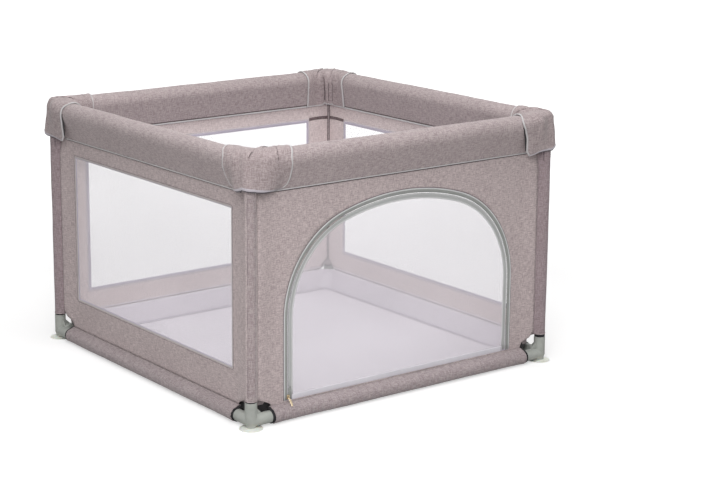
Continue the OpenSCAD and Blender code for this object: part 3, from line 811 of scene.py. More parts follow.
# Walls. The two lower corners of a wall are cut away for the feet, in mm: at most feet, and at the two
# feet where the wall stands further off
wallSet = {"thick": 1.6 * mm, "step": 0.014, "rings": 14, "slack": 1.5 * mm}
cutNear = [(463.5, 68), (456, 65), (441, 59), (427, 52.5), (420, 47), (418, 43.5)]
cutFar = [(463.5, 87), (458, 81), (448, 70), (436, 65), (424, 60), (420, 50), (418, 43.5)]
windowSide = half - 94 * mm
windowLow, windowTop = meshBox[0].z + 8 * mm, meshBox[1].z - 8 * mm


def windowLine(grow, r, n):
    return roundedBox(-windowSide - grow, windowLow - grow, windowSide + grow, windowTop + grow, r, n)


def wallOutline(side):
    end, top = wallHigh.x, wallHigh.z
    left = [(-min(x * mm, end), z * mm) for x, z in (cutFar if side == "left" else cutNear)]
    right = [(min(x * mm, end), z * mm) for x, z in (cutFar if side == "front" else cutNear)][::-1]
    return left + right + [(end, top), (-end, top)]


def reach(centre, turn, outline):  # where a ray from the centre crosses a closed outline
    d = Vector((math.cos(turn), math.sin(turn)))
    best = None
    for a, b in zip(outline, outline[1:] + outline[:1]):
        a, b = Vector(a) - centre, Vector(b) - centre
        e = b - a
        det = d.x * -e.y + e.x * d.y
        if abs(det) < 1e-12:
            continue
        t = (a.x * -e.y + e.x * a.y) / det
        k = (d.x * a.y - d.y * a.x) / det
        if t > 0 and -1e-6 <= k <= 1 + 1e-6 and (best is None or t < best):
            best = t
    return centre + d * best


def ringWall(inner, outer, centre, seed):  # a wall between its opening and its outline
    centre = Vector(centre)
    edge = split(inner, wallSet["step"]) + split(outer, wallSet["step"])
    turns = sorted({round(math.atan2(p[1] - centre.y, p[0] - centre.x), 6) for p in edge})
    rows = []
    n = wallSet["rings"]
    for turn in turns:
        a, b = reach(centre, turn, inner), reach(centre, turn, outer)
        row = []
        for k in range(n + 1):
            p = a + (b - a) * k / n
            hold = math.sin(math.pi * k / n) ** 0.7
            out = wallSet["slack"] * hold * ripple(p.x * 5, p.y * 5, seed)
            out += 0.5 * mm * hold * ripple(p.x * 22, p.y * 22, seed + 4)
            out -= seamLift(p.y) * smooth(half - 82 * mm, half - 22 * mm, abs(p.x))
            row.append((p.x, -wallLine + out, p.y))
        rows.append(row)
    return loft(rows, along=True, cutOf=lambda p: (p.x, p.z))


def newWall(i, side, opening, centre, seed):
    skin = ringWall(opening, wallOutline(side), centre, seed)
    wall = newPiece("wall" + titled(side), skin, "wall", turned(i), thick=wallSet["thick"])
    # the inner side gets the lighter inner finish, which is painted light
    lined(wall, "wallInner", turned(i) @ Vector((0, -1, 0)))
    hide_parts("wall_" + side)
    area(wallOutline(side)) - area(opening)


for i, side in enumerate(sideNames):
    if side != "front":
        newWall(i, side, windowLine(0, 2.5 * mm, 3), (0, (windowLow + windowTop) / 2), 3.1 * i)

archSet = {"crown": 636 * mm, "shoulder": 266 * mm, "half": -zipBox[0].x + 0.3 * mm, "top": zipBox[1].z + 0.3 * mm,
           "foot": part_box("door_hem")[0].z + 0.9 * mm, "strip": 2.1 * mm, "legs": 12, "steps": 24}


def archLine(inset, low):  # the arch from its right foot over the crown to its left foot
    a = archSet
    legs, steps = a["legs"], a["steps"]
    side, sr, cr = a["half"] - inset, a["shoulder"] - inset, a["crown"] - inset
    crownZ = a["top"] - a["crown"]
    shoulderX = a["half"] - a["shoulder"]
    shoulderZ = crownZ + math.sqrt((a["crown"] - a["shoulder"]) ** 2 - shoulderX ** 2)
    turn = math.atan2(shoulderZ - crownZ, shoulderX)
    line = [(side, low + (shoulderZ - low) * k / legs) for k in range(legs)]
    for k in range(steps):
        t = turn * k / steps
        line.append((shoulderX + sr * math.cos(t), shoulderZ + sr * math.sin(t)))
    for k in range(steps + 1):
        t = turn + (math.pi - 2 * turn) * k / steps
        line.append((cr * math.cos(t), crownZ + cr * math.sin(t)))
    return line + [(-x, z) for x, z in reversed(line[:legs + steps])]


newWall(0, "front", archLine(0, archSet["foot"] - archSet["strip"]), (0, 0.25), 0.0)
print("walls made")


# Window meshes and their bindings
meshSet = {"along": 60, "up": 36, "sag": 2.2 * mm}


def netRows(seed):
    low, high = meshBox
    rows = []
    for a in range(meshSet["along"] + 1):
        x = low.x + (high.x - low.x) * a / meshSet["along"]
        row = []
        for b in range(meshSet["up"] + 1):
            z = low.z + (high.z - low.z) * b / meshSet["up"]
            hold = smooth(0, 0.1, high.x - abs(x)) * smooth(0, 0.08, min(z - low.z, high.z - z))
            sag = meshSet["sag"] * (0.5 + ripple(x * 3, z * 3, seed * 2.0)) + 0.4 * mm * math.sin(x * 40 + seed)
            row.append((x, -wallLine + 2.1 * mm + hold * sag, z))
        rows.append(row)
    return rows


def onWall(line, out=0.0):
    return [(x, -wallLine - out, z) for x, z in line]


for i, side in enumerate(sideNames):
    if side == "front":
        continue
    title, place = titled(side), turned(i)
    skin = loft(netRows(i), cutOf=lambda p: (p.x, p.z))
    net = newPiece("windowNet" + title, skin, "net", place, closed=False)
    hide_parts("mesh_" + side)
    edge = onWall(split(windowLine(0, 2.5 * mm, 4), 0.03), 0.1 * mm)
    newPiece("windowBinding" + title, band(edge, 4, 2.0, 12, closed=True), "binding", place)
    inside = onWall(split(windowLine(-0.4 * mm, 3 * mm, 3), 0.03), -2.0 * mm)
    newPiece("windowHem" + title, band(inside, 8.0, 1.5, 10, closed=True), "lilac", place)
    groove = onWall(split(windowLine(4 * mm, 5 * mm, 4), 0.03), 0.9 * mm)
    newPiece("windowSeam" + title, band(groove, 0.9, 0.9, 6, closed=True), "seam", place)
print("windows made")


# Door, zip, slider and pull
zipSet = {"tape": 10 * mm, "coil": 2.3 * mm, "gap": 1.6 * mm, "tailTop": 78.1 * mm, "doorFoot": 2.6 * mm,
          "cut": 0.4 * mm,
          "beads": {"Spacing": 2.1 * mm, "Long": 1.7 * mm, "Width": 2.9 * mm, "Thickness": 2.4 * mm}}
halfTape = zipSet["tape"] / 2
coilMid = 0.3 * mm + 8.5 * mm + zipSet["coil"] + zipSet["gap"] / 2
coilOff = zipSet["gap"] / 2 + zipSet["coil"] / 2
doorEdge = coilMid + zipSet["gap"] / 2 + zipSet["coil"] - 1.5 * mm + zipSet["tape"]
tailTop = zipSet["tailTop"]
doorCut = tailTop + zipSet["cut"]


def wallArch(inset):
    return archLine(inset, archSet["foot"])


def tailPart(inset):  # the left leg's second half of the zip, below the slider, stays with the wall
    low = [p for p in wallArch(inset) if p[0] < 0 and p[1] <= tailTop]
    return [(low[-1][0], tailTop)] + low


def doorPart(inset):
    return [p for p in archLine(inset, archSet["foot"] + zipSet["doorFoot"]) if p[0] > 0 or p[1] > doorCut]


wallTape = band(onWall(wallArch(0.3 * mm + halfTape - 1 * mm), 0.6 * mm), zipSet["tape"] / mm + 1, 1.8)
tail = band(onWall(tailPart(doorEdge - halfTape), 0.3 * mm), zipSet["tape"] / mm, 1.2)
zipWall = newPiece("zipTapeWall", merged(wallTape, tail), "zipShade")
newPiece("zipEdge", band(onWall(wallArch(0.9 * mm), 1.2 * mm), 3.6, 1.8), "zipTape")
newPiece("zipOutline", band(onWall(wallArch(-1.9 * mm), 0.7 * mm), 1.3, 1.2, 8), "seam")
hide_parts("zip_wall_half")
doorTape = onWall(doorPart(doorEdge - halfTape) + [(doorEdge - halfTape - archSet["half"], doorCut)], 0.3 * mm)
zipDoor = newPiece("zipTapeDoor", band(doorTape, zipSet["tape"] / mm, 1.2), "zipInner",
                   body="door_flap")
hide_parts("zip_door_half")
doorRim = band(onWall(doorPart(14.9 * mm), 0.9 * mm), 1.8, 1.0, 8)
newPiece("zipDoorEdge", doorRim, "zipTape", body="door_flap")
wallCoil = [onWall(wallArch(coilMid - coilOff)), onWall(tailPart(coilMid + coilOff))]
beads("zipCoilWall", wallCoil, "coil", "zip_tape", **zipSet["beads"])
beads("zipCoilDoor", [onWall(doorPart(coilMid + coilOff))], "coil", "zip_tape", body="door_flap", **zipSet["beads"])

doorSet = {"along": 80, "up": 60, "sag": 2.5 * mm, "inset": doorEdge + 0.3 * mm}
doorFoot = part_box("door_mesh")[0].z
doorLine = archLine(doorSet["inset"], doorFoot)
doorTop = max(z for x, z in doorLine)


def doorHalf(z):  # half the door's width at a height
    right = [p for p in doorLine if p[0] >= -1e-9]
    for (x0, z0), (x1, z1) in zip(right, right[1:]):
        if z0 <= z <= z1 and z1 > z0:
            return x0 + (x1 - x0) * (z - z0) / (z1 - z0)
    return 0.0 if z > doorTop - 1e-6 else right[0][0]


rows = []
for b in range(doorSet["up"] + 1):
    z = doorFoot + (doorTop - doorFoot) * math.sin(b / doorSet["up"] * math.pi / 2)
    wide = max(doorHalf(min(z, doorTop)), 0.001)
    row = []
    for a in range(doorSet["along"] + 1):
        x = wide * (2 * a / doorSet["along"] - 1)
        hold = smooth(0, 0.09, wide - abs(x)) * smooth(0, 0.07, doorTop - z) * smooth(0, 0.03, z - doorFoot)
        row.append((x, -wallLine + hold * doorSet["sag"] * ripple(x * 3.2, z * 3.2, 9.0), z))
    rows.append(row)
skin = loft(rows, cutOf=lambda p: (p.x, p.z))
door = newPiece("doorNet", skin, "doorNet", body="door_flap", closed=False)
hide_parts("door_mesh")
2 * doorHalf(doorFoot)
doorTop - doorFoot
area(doorLine)

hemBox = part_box("door_hem")
rows = []
for a in range(81):
    x = hemBox[0].x + (hemBox[1].x - hemBox[0].x) * a / 80
    puff = 0.25 * mm * ripple(x * 25, 3.0)
    section = pillow(13.8 * mm, 1.9 * mm, 12)
    rows.append([(x, -wallLine + f * 1.05 - puff * (f < 0), hemBox[0].z + 6.95 * mm + s) for s, f in section])
hem = newPiece("doorHem", loft(rows, across=True, ends=True), "doorHem", body="door_flap")
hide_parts("door_hem")
binding = band(onWall(archLine(doorSet["inset"] + 1 * mm, doorFoot), 0.2 * mm), 4, 1.8, 8)
newPiece("doorBinding", binding, "zipTape", body="door_flap")

sliderMid = middle("zip_slider")
sliderMid.y = -wallLine
sliderSet = {"plate": 1.2 * mm, "face": 1.65 * mm, "pinOut": 5.13 * mm, "lean": 40.9, "long": 24 * mm,
             "shield": [(3.0, -6), (3.6, -4.6), (4.5, -2.6), (4.5, 4.2), (3.9, 5.5), (2.8, 6)],
             "wedge": [(-0.5, -5.0), (0.5, -5.0), (0.5, -2.0), (0, -1.4), (-0.5, -2.0)]}


def plate(y0, y1, outline):
    levels = ((y0, 0.9), (y0 + 0.25 * (y1 - y0), 1.0), (y0 + 0.75 * (y1 - y0), 1.0), (y1, 0.9))
    return loft([[(x * s * mm, y, z * s * mm) for x, z in outline] for y, s in levels], across=True, ends=True)


s = sliderSet
shield = [(-s["shield"][0][0], s["shield"][0][1])] + s["shield"] + [(-x, z) for x, z in s["shield"][:0:-1]]
parts = [plate(-s["face"] - s["plate"], -s["face"], shield), plate(s["face"], s["face"] + s["plate"], shield),
         plate(-s["face"] - 0.4 * mm, s["face"] + 0.4 * mm, s["wedge"])]
bend = []
for k in range(13):
    a = math.pi * k / 12
    bend.append((0, -s["pinOut"] + 0.9 * mm - 2.2 * mm * math.sin(a), 3.4 * mm * 0.9 * math.cos(a)))
wire = [(0.8 * mm * math.cos(b), 0.7 * mm * math.sin(b)) for b in around(10)]
parts.append(carried(bend, wire, (1, 0, 0)))
slider = newPiece("zipSlider", merged(*parts), "brass", Matrix.Translation(sliderMid), "zip_slider")
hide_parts("zip_slider")

leaf = []
for k in range(25):
    d = k / 24
    wide = (0.9 + 2.6 * math.sin(math.pi * min(1, d * 0.93 + 0.07)) ** 0.8) * mm
    z = -s["long"] * d - (0.8 if k == 0 else 1.2) * mm
    section = [(math.cos(b), math.sin(b)) for b in around(14)]
    leaf.append([(wide * x, 0.65 * mm * y * (1 - 0.5 * abs(x)), z) for x, y in section])
eye = []
for b in around(20):
    row = []
    for c in around(8):
        r = (1.55 + 0.55 * math.cos(c)) * mm
        row.append((0.66 * mm * math.sin(c), r * math.sin(b), r * math.cos(b)))
    eye.append(row)
pin = Matrix.Translation(sliderMid + Vector((0, -s["pinOut"], 0)))
pullSkin = merged(loft(leaf, across=True, ends=True), loft(eye, across=True, along=True))
place = pin @ Matrix.Rotation(math.radians(-s["lean"]), 4, "X")
pull = newPiece("zipPull", pullSkin, "brass", place, "zip_pull")
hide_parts("zip_pull")
print("door and zip made")


# Top pads
padSet = {"outer": 30 * mm, "inner": 25.3 * mm, "drop": topRail - padBox[0].z,
          "outFoot": 4.2 * mm, "outSlot": 8.9 * mm, "inSlot": 11.1 * mm, "inFoot": 15.8 * mm,
          "along": 130, "slack": 1.6 * mm}


def padRow(x, seed):
    p = padSet
    outside = overRail(p["outer"], p["outFoot"], p["inFoot"], p["drop"], 12, 26)
    inside = overRail(p["inner"], p["outSlot"], p["inSlot"], p["drop"], 8, 14)[::-1]
    row = []
    for k, q in enumerate(outside):
        share = k / (len(outside) - 1)
        out = q.normalized() if q.y > -0.02 else Vector((-1 if share < 0.5 else 1, 0))
        foot = smooth(0.0, 0.12, min(share, 1 - share))
        folds = 0.8 * ripple(x * 6, share * 5, seed) + 0.45 * ripple(x * 21, share * 7, seed + 8)
        puff = p["slack"] * foot * folds - 0.4 * mm
        row.append((x, -half + q.x + out.x * puff, topRail + q.y + out.y * puff))
    return row + [(x, -half + q.x, topRail + q.y) for q in inside]


def alongPad(y, rise, wide, thick, n=10):
    low, high = padBox
    return band([(low.x + (high.x - low.x) * k / 60, y, low.z + rise) for k in range(61)], wide, thick, n)


hems = merged(alongPad(-half + 3.6 * mm, 1.2 * mm, 3.2, 3.4), alongPad(-half + 16.8 * mm, 0.8 * mm, 4.2, 4.2))
# dark beads under the pad's outer edge and above its inner hem: painted shadow
grooves = merged(alongPad(-wallLine - 1.0 * mm, -2.8 * mm, 2.6, 1.4, 8),
                 alongPad(-half + 16.9 * mm, 5.2 * mm, 2.4, 1.6, 8))
for i, side in enumerate(sideNames):
    count = padSet["along"]
    rows = [padRow(padBox[0].x + (padBox[1].x - padBox[0].x) * k / count, 11.7 * i) for k in range(count + 1)]
    title, place = titled(side), turned(i)
    pad = newPiece("topPad" + title, loft(rows, across=True, ends=True), "pad", place)
    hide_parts("top_pad_" + side)
    newPiece("padHem" + title, hems, "piping", place)
    newPiece("padSeam" + title, grooves, "crease", place)
print("pads made")


# Corner caps. An arm runs to each side of the post, and a fan of stations joins the arms round the corner
capSet = {"thick": 3.2 * mm, "low": capBox[0].z, "radius": 32.4 * mm, "fillet": 54 * mm, "inFoot": 20 * mm,
          "inLow": 592 * mm, "armSteps": 44, "fanSteps": 40, "slack": 1.6 * mm, "flat": 3.0, "across": 130 * mm,
          "pleatRise": 2.0 * mm, "pleatDrop": 4.2 * mm,
          "gathers": ((0.44, 7.5, 4.2), (0.515, 4, 1.8), (0.59, 4.5, 1.4))}
# each corner's radius at the top and at the foot, how square its top edge is,
# then for both arms how far the end hangs clear of the pad and how far it sags
capCorners = [(24, 30, 2.0, (1, 1), (0, 0)), (19.5, 23, 3.2, (14, 22), (3, 8)),
              (21, 25, 2.6, (12, 12), (3, 3)), (19.5, 25, 3.0, (21, 14), (6, 3))]
# how far the lower edge rises, in mm: first arm's side, corner, second arm's side
capLifts = [(9, 11, 13), (4, 8, 1), (5, 10, 5), (1, 9, 4)]
# how far each arm's end lies from the post, in mm: low, widest, top, inside
capArms = [((107, 101, 114, 104), (78, 68, 90, 92)), ((100, 104, 106, 100), (92, 110, 100, 100)),
           ((100, 104, 110, 100), (100, 104, 108, 100)), ((92, 96, 108, 100), (100, 104, 112, 100))]
# folds over the top: where they cross the corner (0 to 1), how far they sweep sideways, which side drops
capPleats = [((0.38, 0.42, -1), (0.0, -0.31, -1)), ((0.3, 0.2, 1), (0.55, -0.2, -1)),
             ((0.28, -0.15, 1), (0.62, 0.2, -1)), ((0.26, 0.2, 1), (0.6, -0.12, -1))]
arms, fans = capSet["armSteps"], capSet["fanSteps"]
capStations = [(1 - k / arms, 0.0, 0) for k in range(arms)]
capStations += [(0.0, math.pi / 2 * k / fans, 1) for k in range(fans + 1)]
capStations += [(k / arms, math.pi / 2, 2) for k in range(1, arms + 1)]
capAcross = []
for share, fan, part in capStations:
    capAcross.append(0.5 + (fan / math.pi - 0.25) * 0.9 + (-share if part == 0 else share) * 0.6)


def blended(pair, share):
    return pair[0] + (pair[1] - pair[0]) * share


def capProfile(share, fan, number):
    c = capSet
    first, tip, second = capLifts[number]
    corner, flare, square, drawn, sag = capCorners[number]
    corner, flare = corner * mm, flare * mm
    turn = fan / (math.pi / 2)
    lift = first + (second - first) * turn + (tip - (first + second) / 2) * math.sin(2 * fan)
    r = c["radius"]
    squeeze = corner / r + (1 - corner / r) * smooth(0.05, 0.46, share)
    footOut = -flare + (flare - blended(drawn, turn) * mm) * smooth(0.2, 0.85, share)
    low = c["low"] + lift * mm * (1 - share) ** 3 - blended(sag, turn) * mm * smooth(0.25, 0.95, share)
    drop = topRail - low
    line = []
    for q in overRail(r, max(footOut / squeeze, -r - 14 * mm), c["inFoot"], drop, 16, 32):
        high = q.y
        if q.x > 0 and q.y > 0:  # the corner's top stays flat further in
            flat = r * max(0.0, 1 - (q.x / r) ** c["flat"]) ** (1 / c["flat"])
            high += (flat - high) * (1 - smooth(0.3, 0.9, share))
        elif q.y > 0:
            flat = r * max(0.0, 1 - abs(q.x / r) ** square) ** (1 / square)
            high += (flat - high) * (1 - smooth(0.2, 0.8, share))
        elif q.x > 0:
            high *= (topRail - c["inLow"]) / drop
        line.append(Vector((q.x * squeeze if q.x < 0 else q.x, high)))
    return line, r * squeeze


def armEnd(ends, h):  # along the profile: outer foot, widest, top, inner foot
    low, wide, top, inside = ends
    stops = ((0.0, low - 12), (0.05, low - 2), (0.12, low), (0.33, wide), (0.5, top),
             (0.7, (top + inside) / 2), (1.0, inside))
    for (a, va), (b, vb) in zip(stops, stops[1:]):
        if a <= h <= b:
            return mm * (va + (vb - va) * smooth(a, b, h))
    return mm * inside


def capPuff(number, n, k, h):  # slack, pleats and gathers
    c = capSet
    seed = 4.4 * number + 1
    slack = ripple(n * 0.09, k * 0.15, seed) + 0.5 * ripple(n * 0.28, k * 0.45, seed + 6)
    puff = c["slack"] * slack * smooth(0, 0.15, min(h, 1 - h))
    for place, sweep, side in capPleats[number]:
        off = (capAcross[n] - place - sweep * (0.5 - h) * 1.6) * c["across"] * side
        if off < 0:
            fold = c["pleatRise"] * math.exp(off / (7 * mm))
        else:
            fold = -c["pleatDrop"] * math.exp(-off / (3.6 * mm))
        puff += fold * smooth(0.26, 0.36, h) * smooth(0.8, 0.6, h)
    for place, deep, _ in c["gathers"] if capStations[n][2] == 1 else ():
        off = (capAcross[n] - place - 0.01 * math.sin(9 * h)) * c["across"]
        puff -= deep * mm * math.exp(-(off / (4.4 * mm)) ** 2) * smooth(0.5, 0.66, h)
    return puff


def capRows(number):
    d, f = capSet["radius"], capSet["fillet"]
    rows = []
    for n, (share, fan, part) in enumerate(capStations):
        row = []
        profile, r = capProfile(share, fan, number)
        for k, q in enumerate(profile):
            h = k / (len(profile) - 1)
            q = q + q.normalized() * capPuff(number, n, k, h)
            end = armEnd(capArms[number][0 if part == 0 else 1], h)
            armIn = d + f + (end - d - f) * share
            if part == 0:
                outer, inner = Vector((end * share, -r)), Vector((armIn, d))
            elif part == 2:
                outer, inner = Vector((-r, end * share)), Vector((d, armIn))
            else:
                outer = Vector((-r * math.sin(fan), -r * math.cos(fan)))
                inner = Vector((d + f * (1 - math.sin(fan)), d + f * (1 - math.cos(fan))))
            spot = outer.lerp(inner, (q.x + r) / (d + r))
            row.append((spot.x, spot.y, topRail + q.y))
        rows.append(row)
    return rows


# A soft bead along a free edge, held by the direction up; wide and high in mm
def edgeBead(points, wide, high, up=(0, 0, 1), lift=0.0, swell=0.0):
    rows = []
    n = len(points) - 1
    for j, p in enumerate(points):
        p = Vector(p)
        along = (Vector(points[min(n, j + 1)]) - Vector(points[max(0, j - 1)])).normalized()
        side = along.cross(Vector(up)).normalized()
        rise = side.cross(along).normalized()
        grow = 1 + swell * math.sin(math.pi * j / n) ** 2
        rows.append([p + side * x + rise * ((z + lift * mm) * grow) for x, z in pillow(wide * mm, high * mm, 12)])
    return loft(rows, across=True, ends=True)


def eased(line):
    return [(line[max(0, j - 1)] + line[j] + line[min(len(line) - 1, j + 1)]) / 3 for j in range(len(line))]


def capGapShades(rows, number):  # black beads under the ends that hang clear: painted shade of the gap between cap and pad
    gapShades = []
    along, into = Vector((1, 0, 0)), Vector((0, 1, 0))
    for row, drawn in ((rows[0], capCorners[number][3][0]), (rows[-1], capCorners[number][3][1])):
        if drawn > 10:
            line = []
            for k in range(3, 19):
                out = (1.2 + 2.6 * math.sin(math.pi * (k - 3) / 15) ** 2) * mm
                line.append(Vector(row[k]) + along * out + into * 3.2 * mm)
            gapShades.append(edgeBead(line, 1.6, 5.6, along))
        along, into = into, along
    return gapShades


# dark beads along the pleats and gathers: painted shade of the folds
def capFoldShades(rows, number):
    count = len(rows[0]) - 1
    creases = []
    for place, sweep, side in capPleats[number]:
        line = []
        for k in range(17, 45):
            h = k / count
            at = place + sweep * (0.5 - h) * 1.6
            n = min(range(2, len(rows) - 2), key=lambda j: abs(capAcross[j] - at))
            if 0.3 < h < 0.7:
                along = Vector(rows[n + 1][k]) - Vector(rows[n - 1][k])
                up = along.cross(Vector(rows[n][k + 1]) - Vector(rows[n][k - 1])).normalized()
                line.append(Vector(rows[n][k]) + up * (1.75 * mm if up.z > 0 else -1.75 * mm))
        creases.append(edgeBead(eased(line), 1.3, 1.0))
    inward = Vector((1, 1, 0)).normalized()
    for place, deep, wide in capSet["gathers"]:
        line = []
        for k in range(42 if wide > 2 else 46, count - 1):
            at = place + 0.01 * math.sin(9 * k / count)
            n = min(range(2, len(rows) - 3), key=lambda j: abs(capAcross[j] - at))
            line.append((Vector(rows[n][k]) + Vector(rows[n + 1][k])) / 2 + inward * 2.1 * mm)
        creases.append(edgeBead(eased(line), wide, 1.2, inward))
    return creases


for i, corner in enumerate(cornerNames):
    title, place = titled(corner), atCorner(i)
    rows = capRows(i)
    cap = newPiece("cornerCap" + title, loft(rows), "cap", place, thick=capSet["thick"])
    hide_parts("corner_cap_" + corner)
    ends = [edgeBead(rows[0], 4.2, 4.6, (1, 0, 0)), edgeBead(rows[-1], 4.2, 4.6, (0, 1, 0))]
    newPiece("capPiping" + title, merged(*ends), "piping", place)
    gapShades = capGapShades(rows, i)
    if gapShades:
        # painted shade of the gap under the hanging cap ends
        newPiece("capTab" + title, merged(*gapShades), "black", place)
    foot = [row[0] for row in rows]
    inFoot = [row[-1] for row in rows]
    newPiece("capHemInside" + title, edgeBead(inFoot, 4.4, 4.6, lift=0.4), "piping", place)
    newPiece("capHem" + title, edgeBead(foot, 4.0, 5.0, lift=1.2, swell=0.4), "capHem", place)
    newPiece("capCrease" + title, merged(*capFoldShades(rows, i)), "crease", place)
    # painted shadow: a dark bead just under the cap's hem, standing in for the shade in the gap between the hem and
    # the post sleeve
    elastic = [(x * 0.9, y * 0.9, z - 2.2 * mm) for x, y, z in foot[arms // 2:-(arms // 2)]]
    newPiece("capElastic" + title, edgeBead(elastic, 1.6, 5.0), "dark", place)
print("caps made")


# Floor sheet and mat
floorSet = {"flat": 448 * mm, "edge": 473.9 * mm, "high": 64 * mm, "doorHigh": 41 * mm, "sum": 919.9 * mm,
            "round": 26 * mm, "thick": 1.6 * mm, "rail": 50 * mm}


def floorLoop(level):  # level runs from 0 on the floor to 1 at the turned-up edge
    f = floorSet
    z0 = floorBox[0].z + 0.8 * mm
    loop = []
    for side in range(4):
        for share in (k / 30 for k in range(-30, 31)):
            top = f["high"] - (f["high"] - f["doorHigh"]) * (side == 0) * smooth(0.955, 0.9, abs(share))
            edge = f["flat"] + (f["edge"] - f["flat"]) * (top - z0) / (f["high"] - z0)
            h = f["flat"] + (edge - f["flat"]) * level - 0.8 * mm
            e = min(h - f["round"] * (1 - 0.6 * level), f["sum"] - h - 1 * mm)
            loop.append(tuple(turned(side) @ Vector((e * share, -h, z0 + (top - z0) * level))))
    return loop


loops = [floorLoop(k / 8) for k in range(8, -1, -1)]
for s in (0.97, 0.66, 0.33, 0.0):
    loops.append([(x * s, y * s, z) for x, y, z in loops[8]])
floorPiece = newPiece("floorSheet", loft(loops, across=True), "black", thick=floorSet["thick"])
for finish in ("floor", "sleeve", "floor"):  # black under the floor; on top, below and above the rail
    floorPiece.data.materials.append(finishes[finish])
for face in floorPiece.data.polygons:
    face.material_index = 2 if face.center.z > floorSet["rail"] else 0
floorPiece.modifiers["thickness"].material_offset = 1
floorPiece.modifiers["thickness"].material_offset_rim = 0
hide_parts("floor_sheet")
end = floorSet["sum"] - floorSet["edge"] - 2 * mm
path = [(end * (k / 30 - 1), -floorSet["edge"] + 0.8 * mm, floorSet["high"] + 5 * mm) for k in range(61)]
bindings = [moved(band(path, 4.4, 2.6), turned(side)) for side in range(1, 4)]
newPiece("floorEdgeBinding", merged(*bindings), "floor")

# how far each loop of the mat lies in from its edge, and how high it stands, as a share of half the thickness
matSet = {"swell": 3.5 * mm, "round": 25 * mm, "voxel": 9 * mm, "pressure": 4.0,
          "loops": ((0.30, 1.0), (0.15, 1.0), (0.06, 1.0), (0.03, 0.97), (0.016, 0.9), (0.008, 0.78), (0.003, 0.55),
                    (0.0, 0.2), (0.0, -0.2), (0.003, -0.55), (0.008, -0.8), (0.016, -0.95), (0.03, -1.0),
                    (0.15, -1.0), (0.3, -1.0))}


def matLine(low, high, step):
    return split(roundedBox(low.x, low.y, high.x, high.y, matSet["round"], 6), step)


def matRows():
    shrink = Vector((1, 1, 1)) * matSet["swell"]
    low, high = matBox[0] + shrink, matBox[1] - shrink
    mid, thick = (low.z + high.z) / 2, (high.z - low.z) / 2
    rows = []
    for inset, rise in matSet["loops"]:
        s = 1 - inset / high.x
        row = []
        for x, y in matLine(low, high, 0.022):
            dent = 0.7 * mm * ripple(x * s * 7, y * s * 7, 2) - 0.7 * mm if rise > 0.5 else 0
            row.append((x * s, y * s, mid + thick * rise + dent))
        rows.append(row)
    return rows


mat = newPiece("playMat", loft(matRows(), across=True, ends=True), "mat", body="play_mat")
filled(mat, matSet["voxel"], matSet["pressure"], matSet["swell"])
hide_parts("play_mat")
inset = Vector((0.5, 0.5, 0)) * mm
rim = [(x, y, middle("play_mat").z) for x, y in matLine(matBox[0] + inset, matBox[1] - inset, 0.03)]
newPiece("matPiping", band(rim, 2.6, 2.6, 8, (0, 0, 1), True), "lilac", body="play_mat")
print("floor made")


# Camera, light and floor
cameraSet = {"place": (-2.8965, -3.9961, 1.5178), "yaw": 35.711, "pitch": 12.564,
             "lens": 90.744, "shift": (0.1, -0.05)}
eye = bpy.data.cameras.new("camera")
eye.lens, eye.sensor_width = cameraSet["lens"], 36
eye.shift_x, eye.shift_y = cameraSet["shift"]
camera = bpy.data.objects.new("camera", eye)
camera.location = cameraSet["place"]
camera.rotation_euler = (math.radians(90 - cameraSet["pitch"]), 0, math.radians(-cameraSet["yaw"]))
scene.collection.objects.link(camera)
scene.camera = camera

# for each lamp: place, width and power
lightSet = {"world": 0.29, "aim": (0, 0, 0.25), "lamps": {
    "keyLamp": ((-2.3, -2.8, 2.1), 1.6, 62), "frontLamp": ((-1.2, -4.0, 2.7), 2.4, 6),
    "topLamp": ((-0.2, -0.5, 4.0), 3.4, 104)}}
for name, (place, size, power) in lightSet["lamps"].items():
    data = bpy.data.lights.new(name, "AREA")
    data.shape, data.size, data.energy = "DISK", size, power
    lamp = bpy.data.objects.new(name, data)
    lamp.location = place
    lamp.rotation_euler = (Vector(lightSet["aim"]) - Vector(place)).to_track_quat("-Z", "Y").to_euler()
    scene.collection.objects.link(lamp)


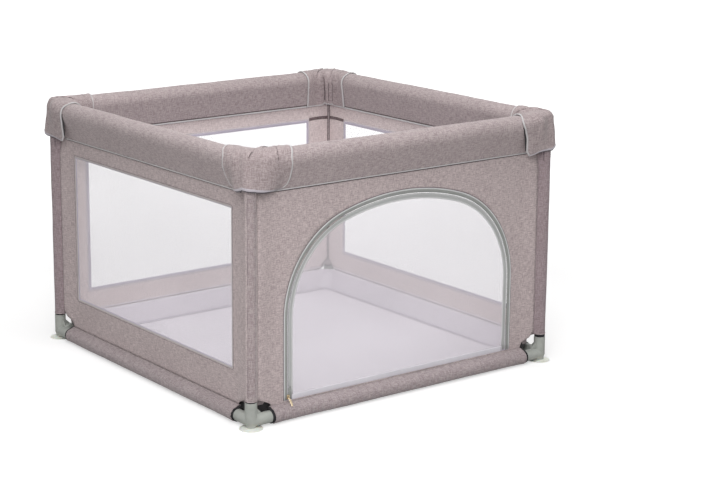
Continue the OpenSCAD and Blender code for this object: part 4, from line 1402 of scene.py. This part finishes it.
world = bpy.data.worlds.new("studio")
scene.world = world
world.use_nodes = True
tree = world.node_tree
tree.nodes.clear()
rays = wired(tree, "ShaderNodeLightPath", {}).outputs
highest = [("operation", "MAXIMUM")]
seen = wired(tree, "ShaderNodeMath", {0: rays["Is Camera Ray"], 1: rays["Is Glossy Ray"]}, highest)
seen = wired(tree, "ShaderNodeMath", {0: seen.outputs[0], 1: rays["Is Transmission Ray"]}, highest)
dim = wired(tree, "ShaderNodeBackground", {0: (1, 0.99, 0.985, 1), 1: lightSet["world"]})
bright = wired(tree, "ShaderNodeBackground", {0: (1, 1, 1, 1), 1: 1.0})
sky = wired(tree, "ShaderNodeMixShader", {0: seen.outputs[0], 1: dim.outputs[0], 2: bright.outputs[0]})
wired(tree, "ShaderNodeOutputWorld", {0: sky.outputs[0]})

studioSet = {"base": 0.6, "reach": 0.25, "glow": ((0.0, 0.5), (0.3, 0.52), (0.6, 0.8), (1.0, 1.0)), "half": 30}
ground = Finish("studioFloor", Roughness=0.9, Specular_IOR_Level=0.0)
ground.shader.inputs["Base Color"].default_value = (*[studioSet["base"]] * 3, 1)
far = ground.node("ShaderNodeVectorMath", {"operation": "LENGTH"}, {0: ground.place()}, out=1)
stops = [(place, (level, level, level, 1)) for place, level in studioSet["glow"]]
glow = wired(ground.tree, "ShaderNodeEmission", {0: ground.ramp(far * studioSet["reach"], stops).socket, 1: 1.0})
plain = ground.shader.outputs[0]
both = wired(ground.tree, "ShaderNodeAddShader", {0: plain, 1: glow.outputs[0]})
rays = wired(ground.tree, "ShaderNodeLightPath", {}).outputs
pick = wired(ground.tree, "ShaderNodeMixShader", {0: rays["Is Camera Ray"], 1: plain, 2: both.outputs[0]})
ground.tree.links.new(pick.outputs[0], ground.out.inputs[0])
s = studioSet["half"]
floorMesh = bpy.data.meshes.new("studioFloor")
floorMesh.from_pydata([(-s, -s, 0), (s, -s, 0), (s, s, 0), (-s, s, 0)], [], [(0, 1, 2, 3)])
floorMesh.materials.append(ground.material)
studioFloor = bpy.data.objects.new("studioFloor", floorMesh)
scene.collection.objects.link(studioFloor)
studioFloor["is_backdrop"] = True
scene.view_settings.view_transform = "Standard"

low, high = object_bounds()
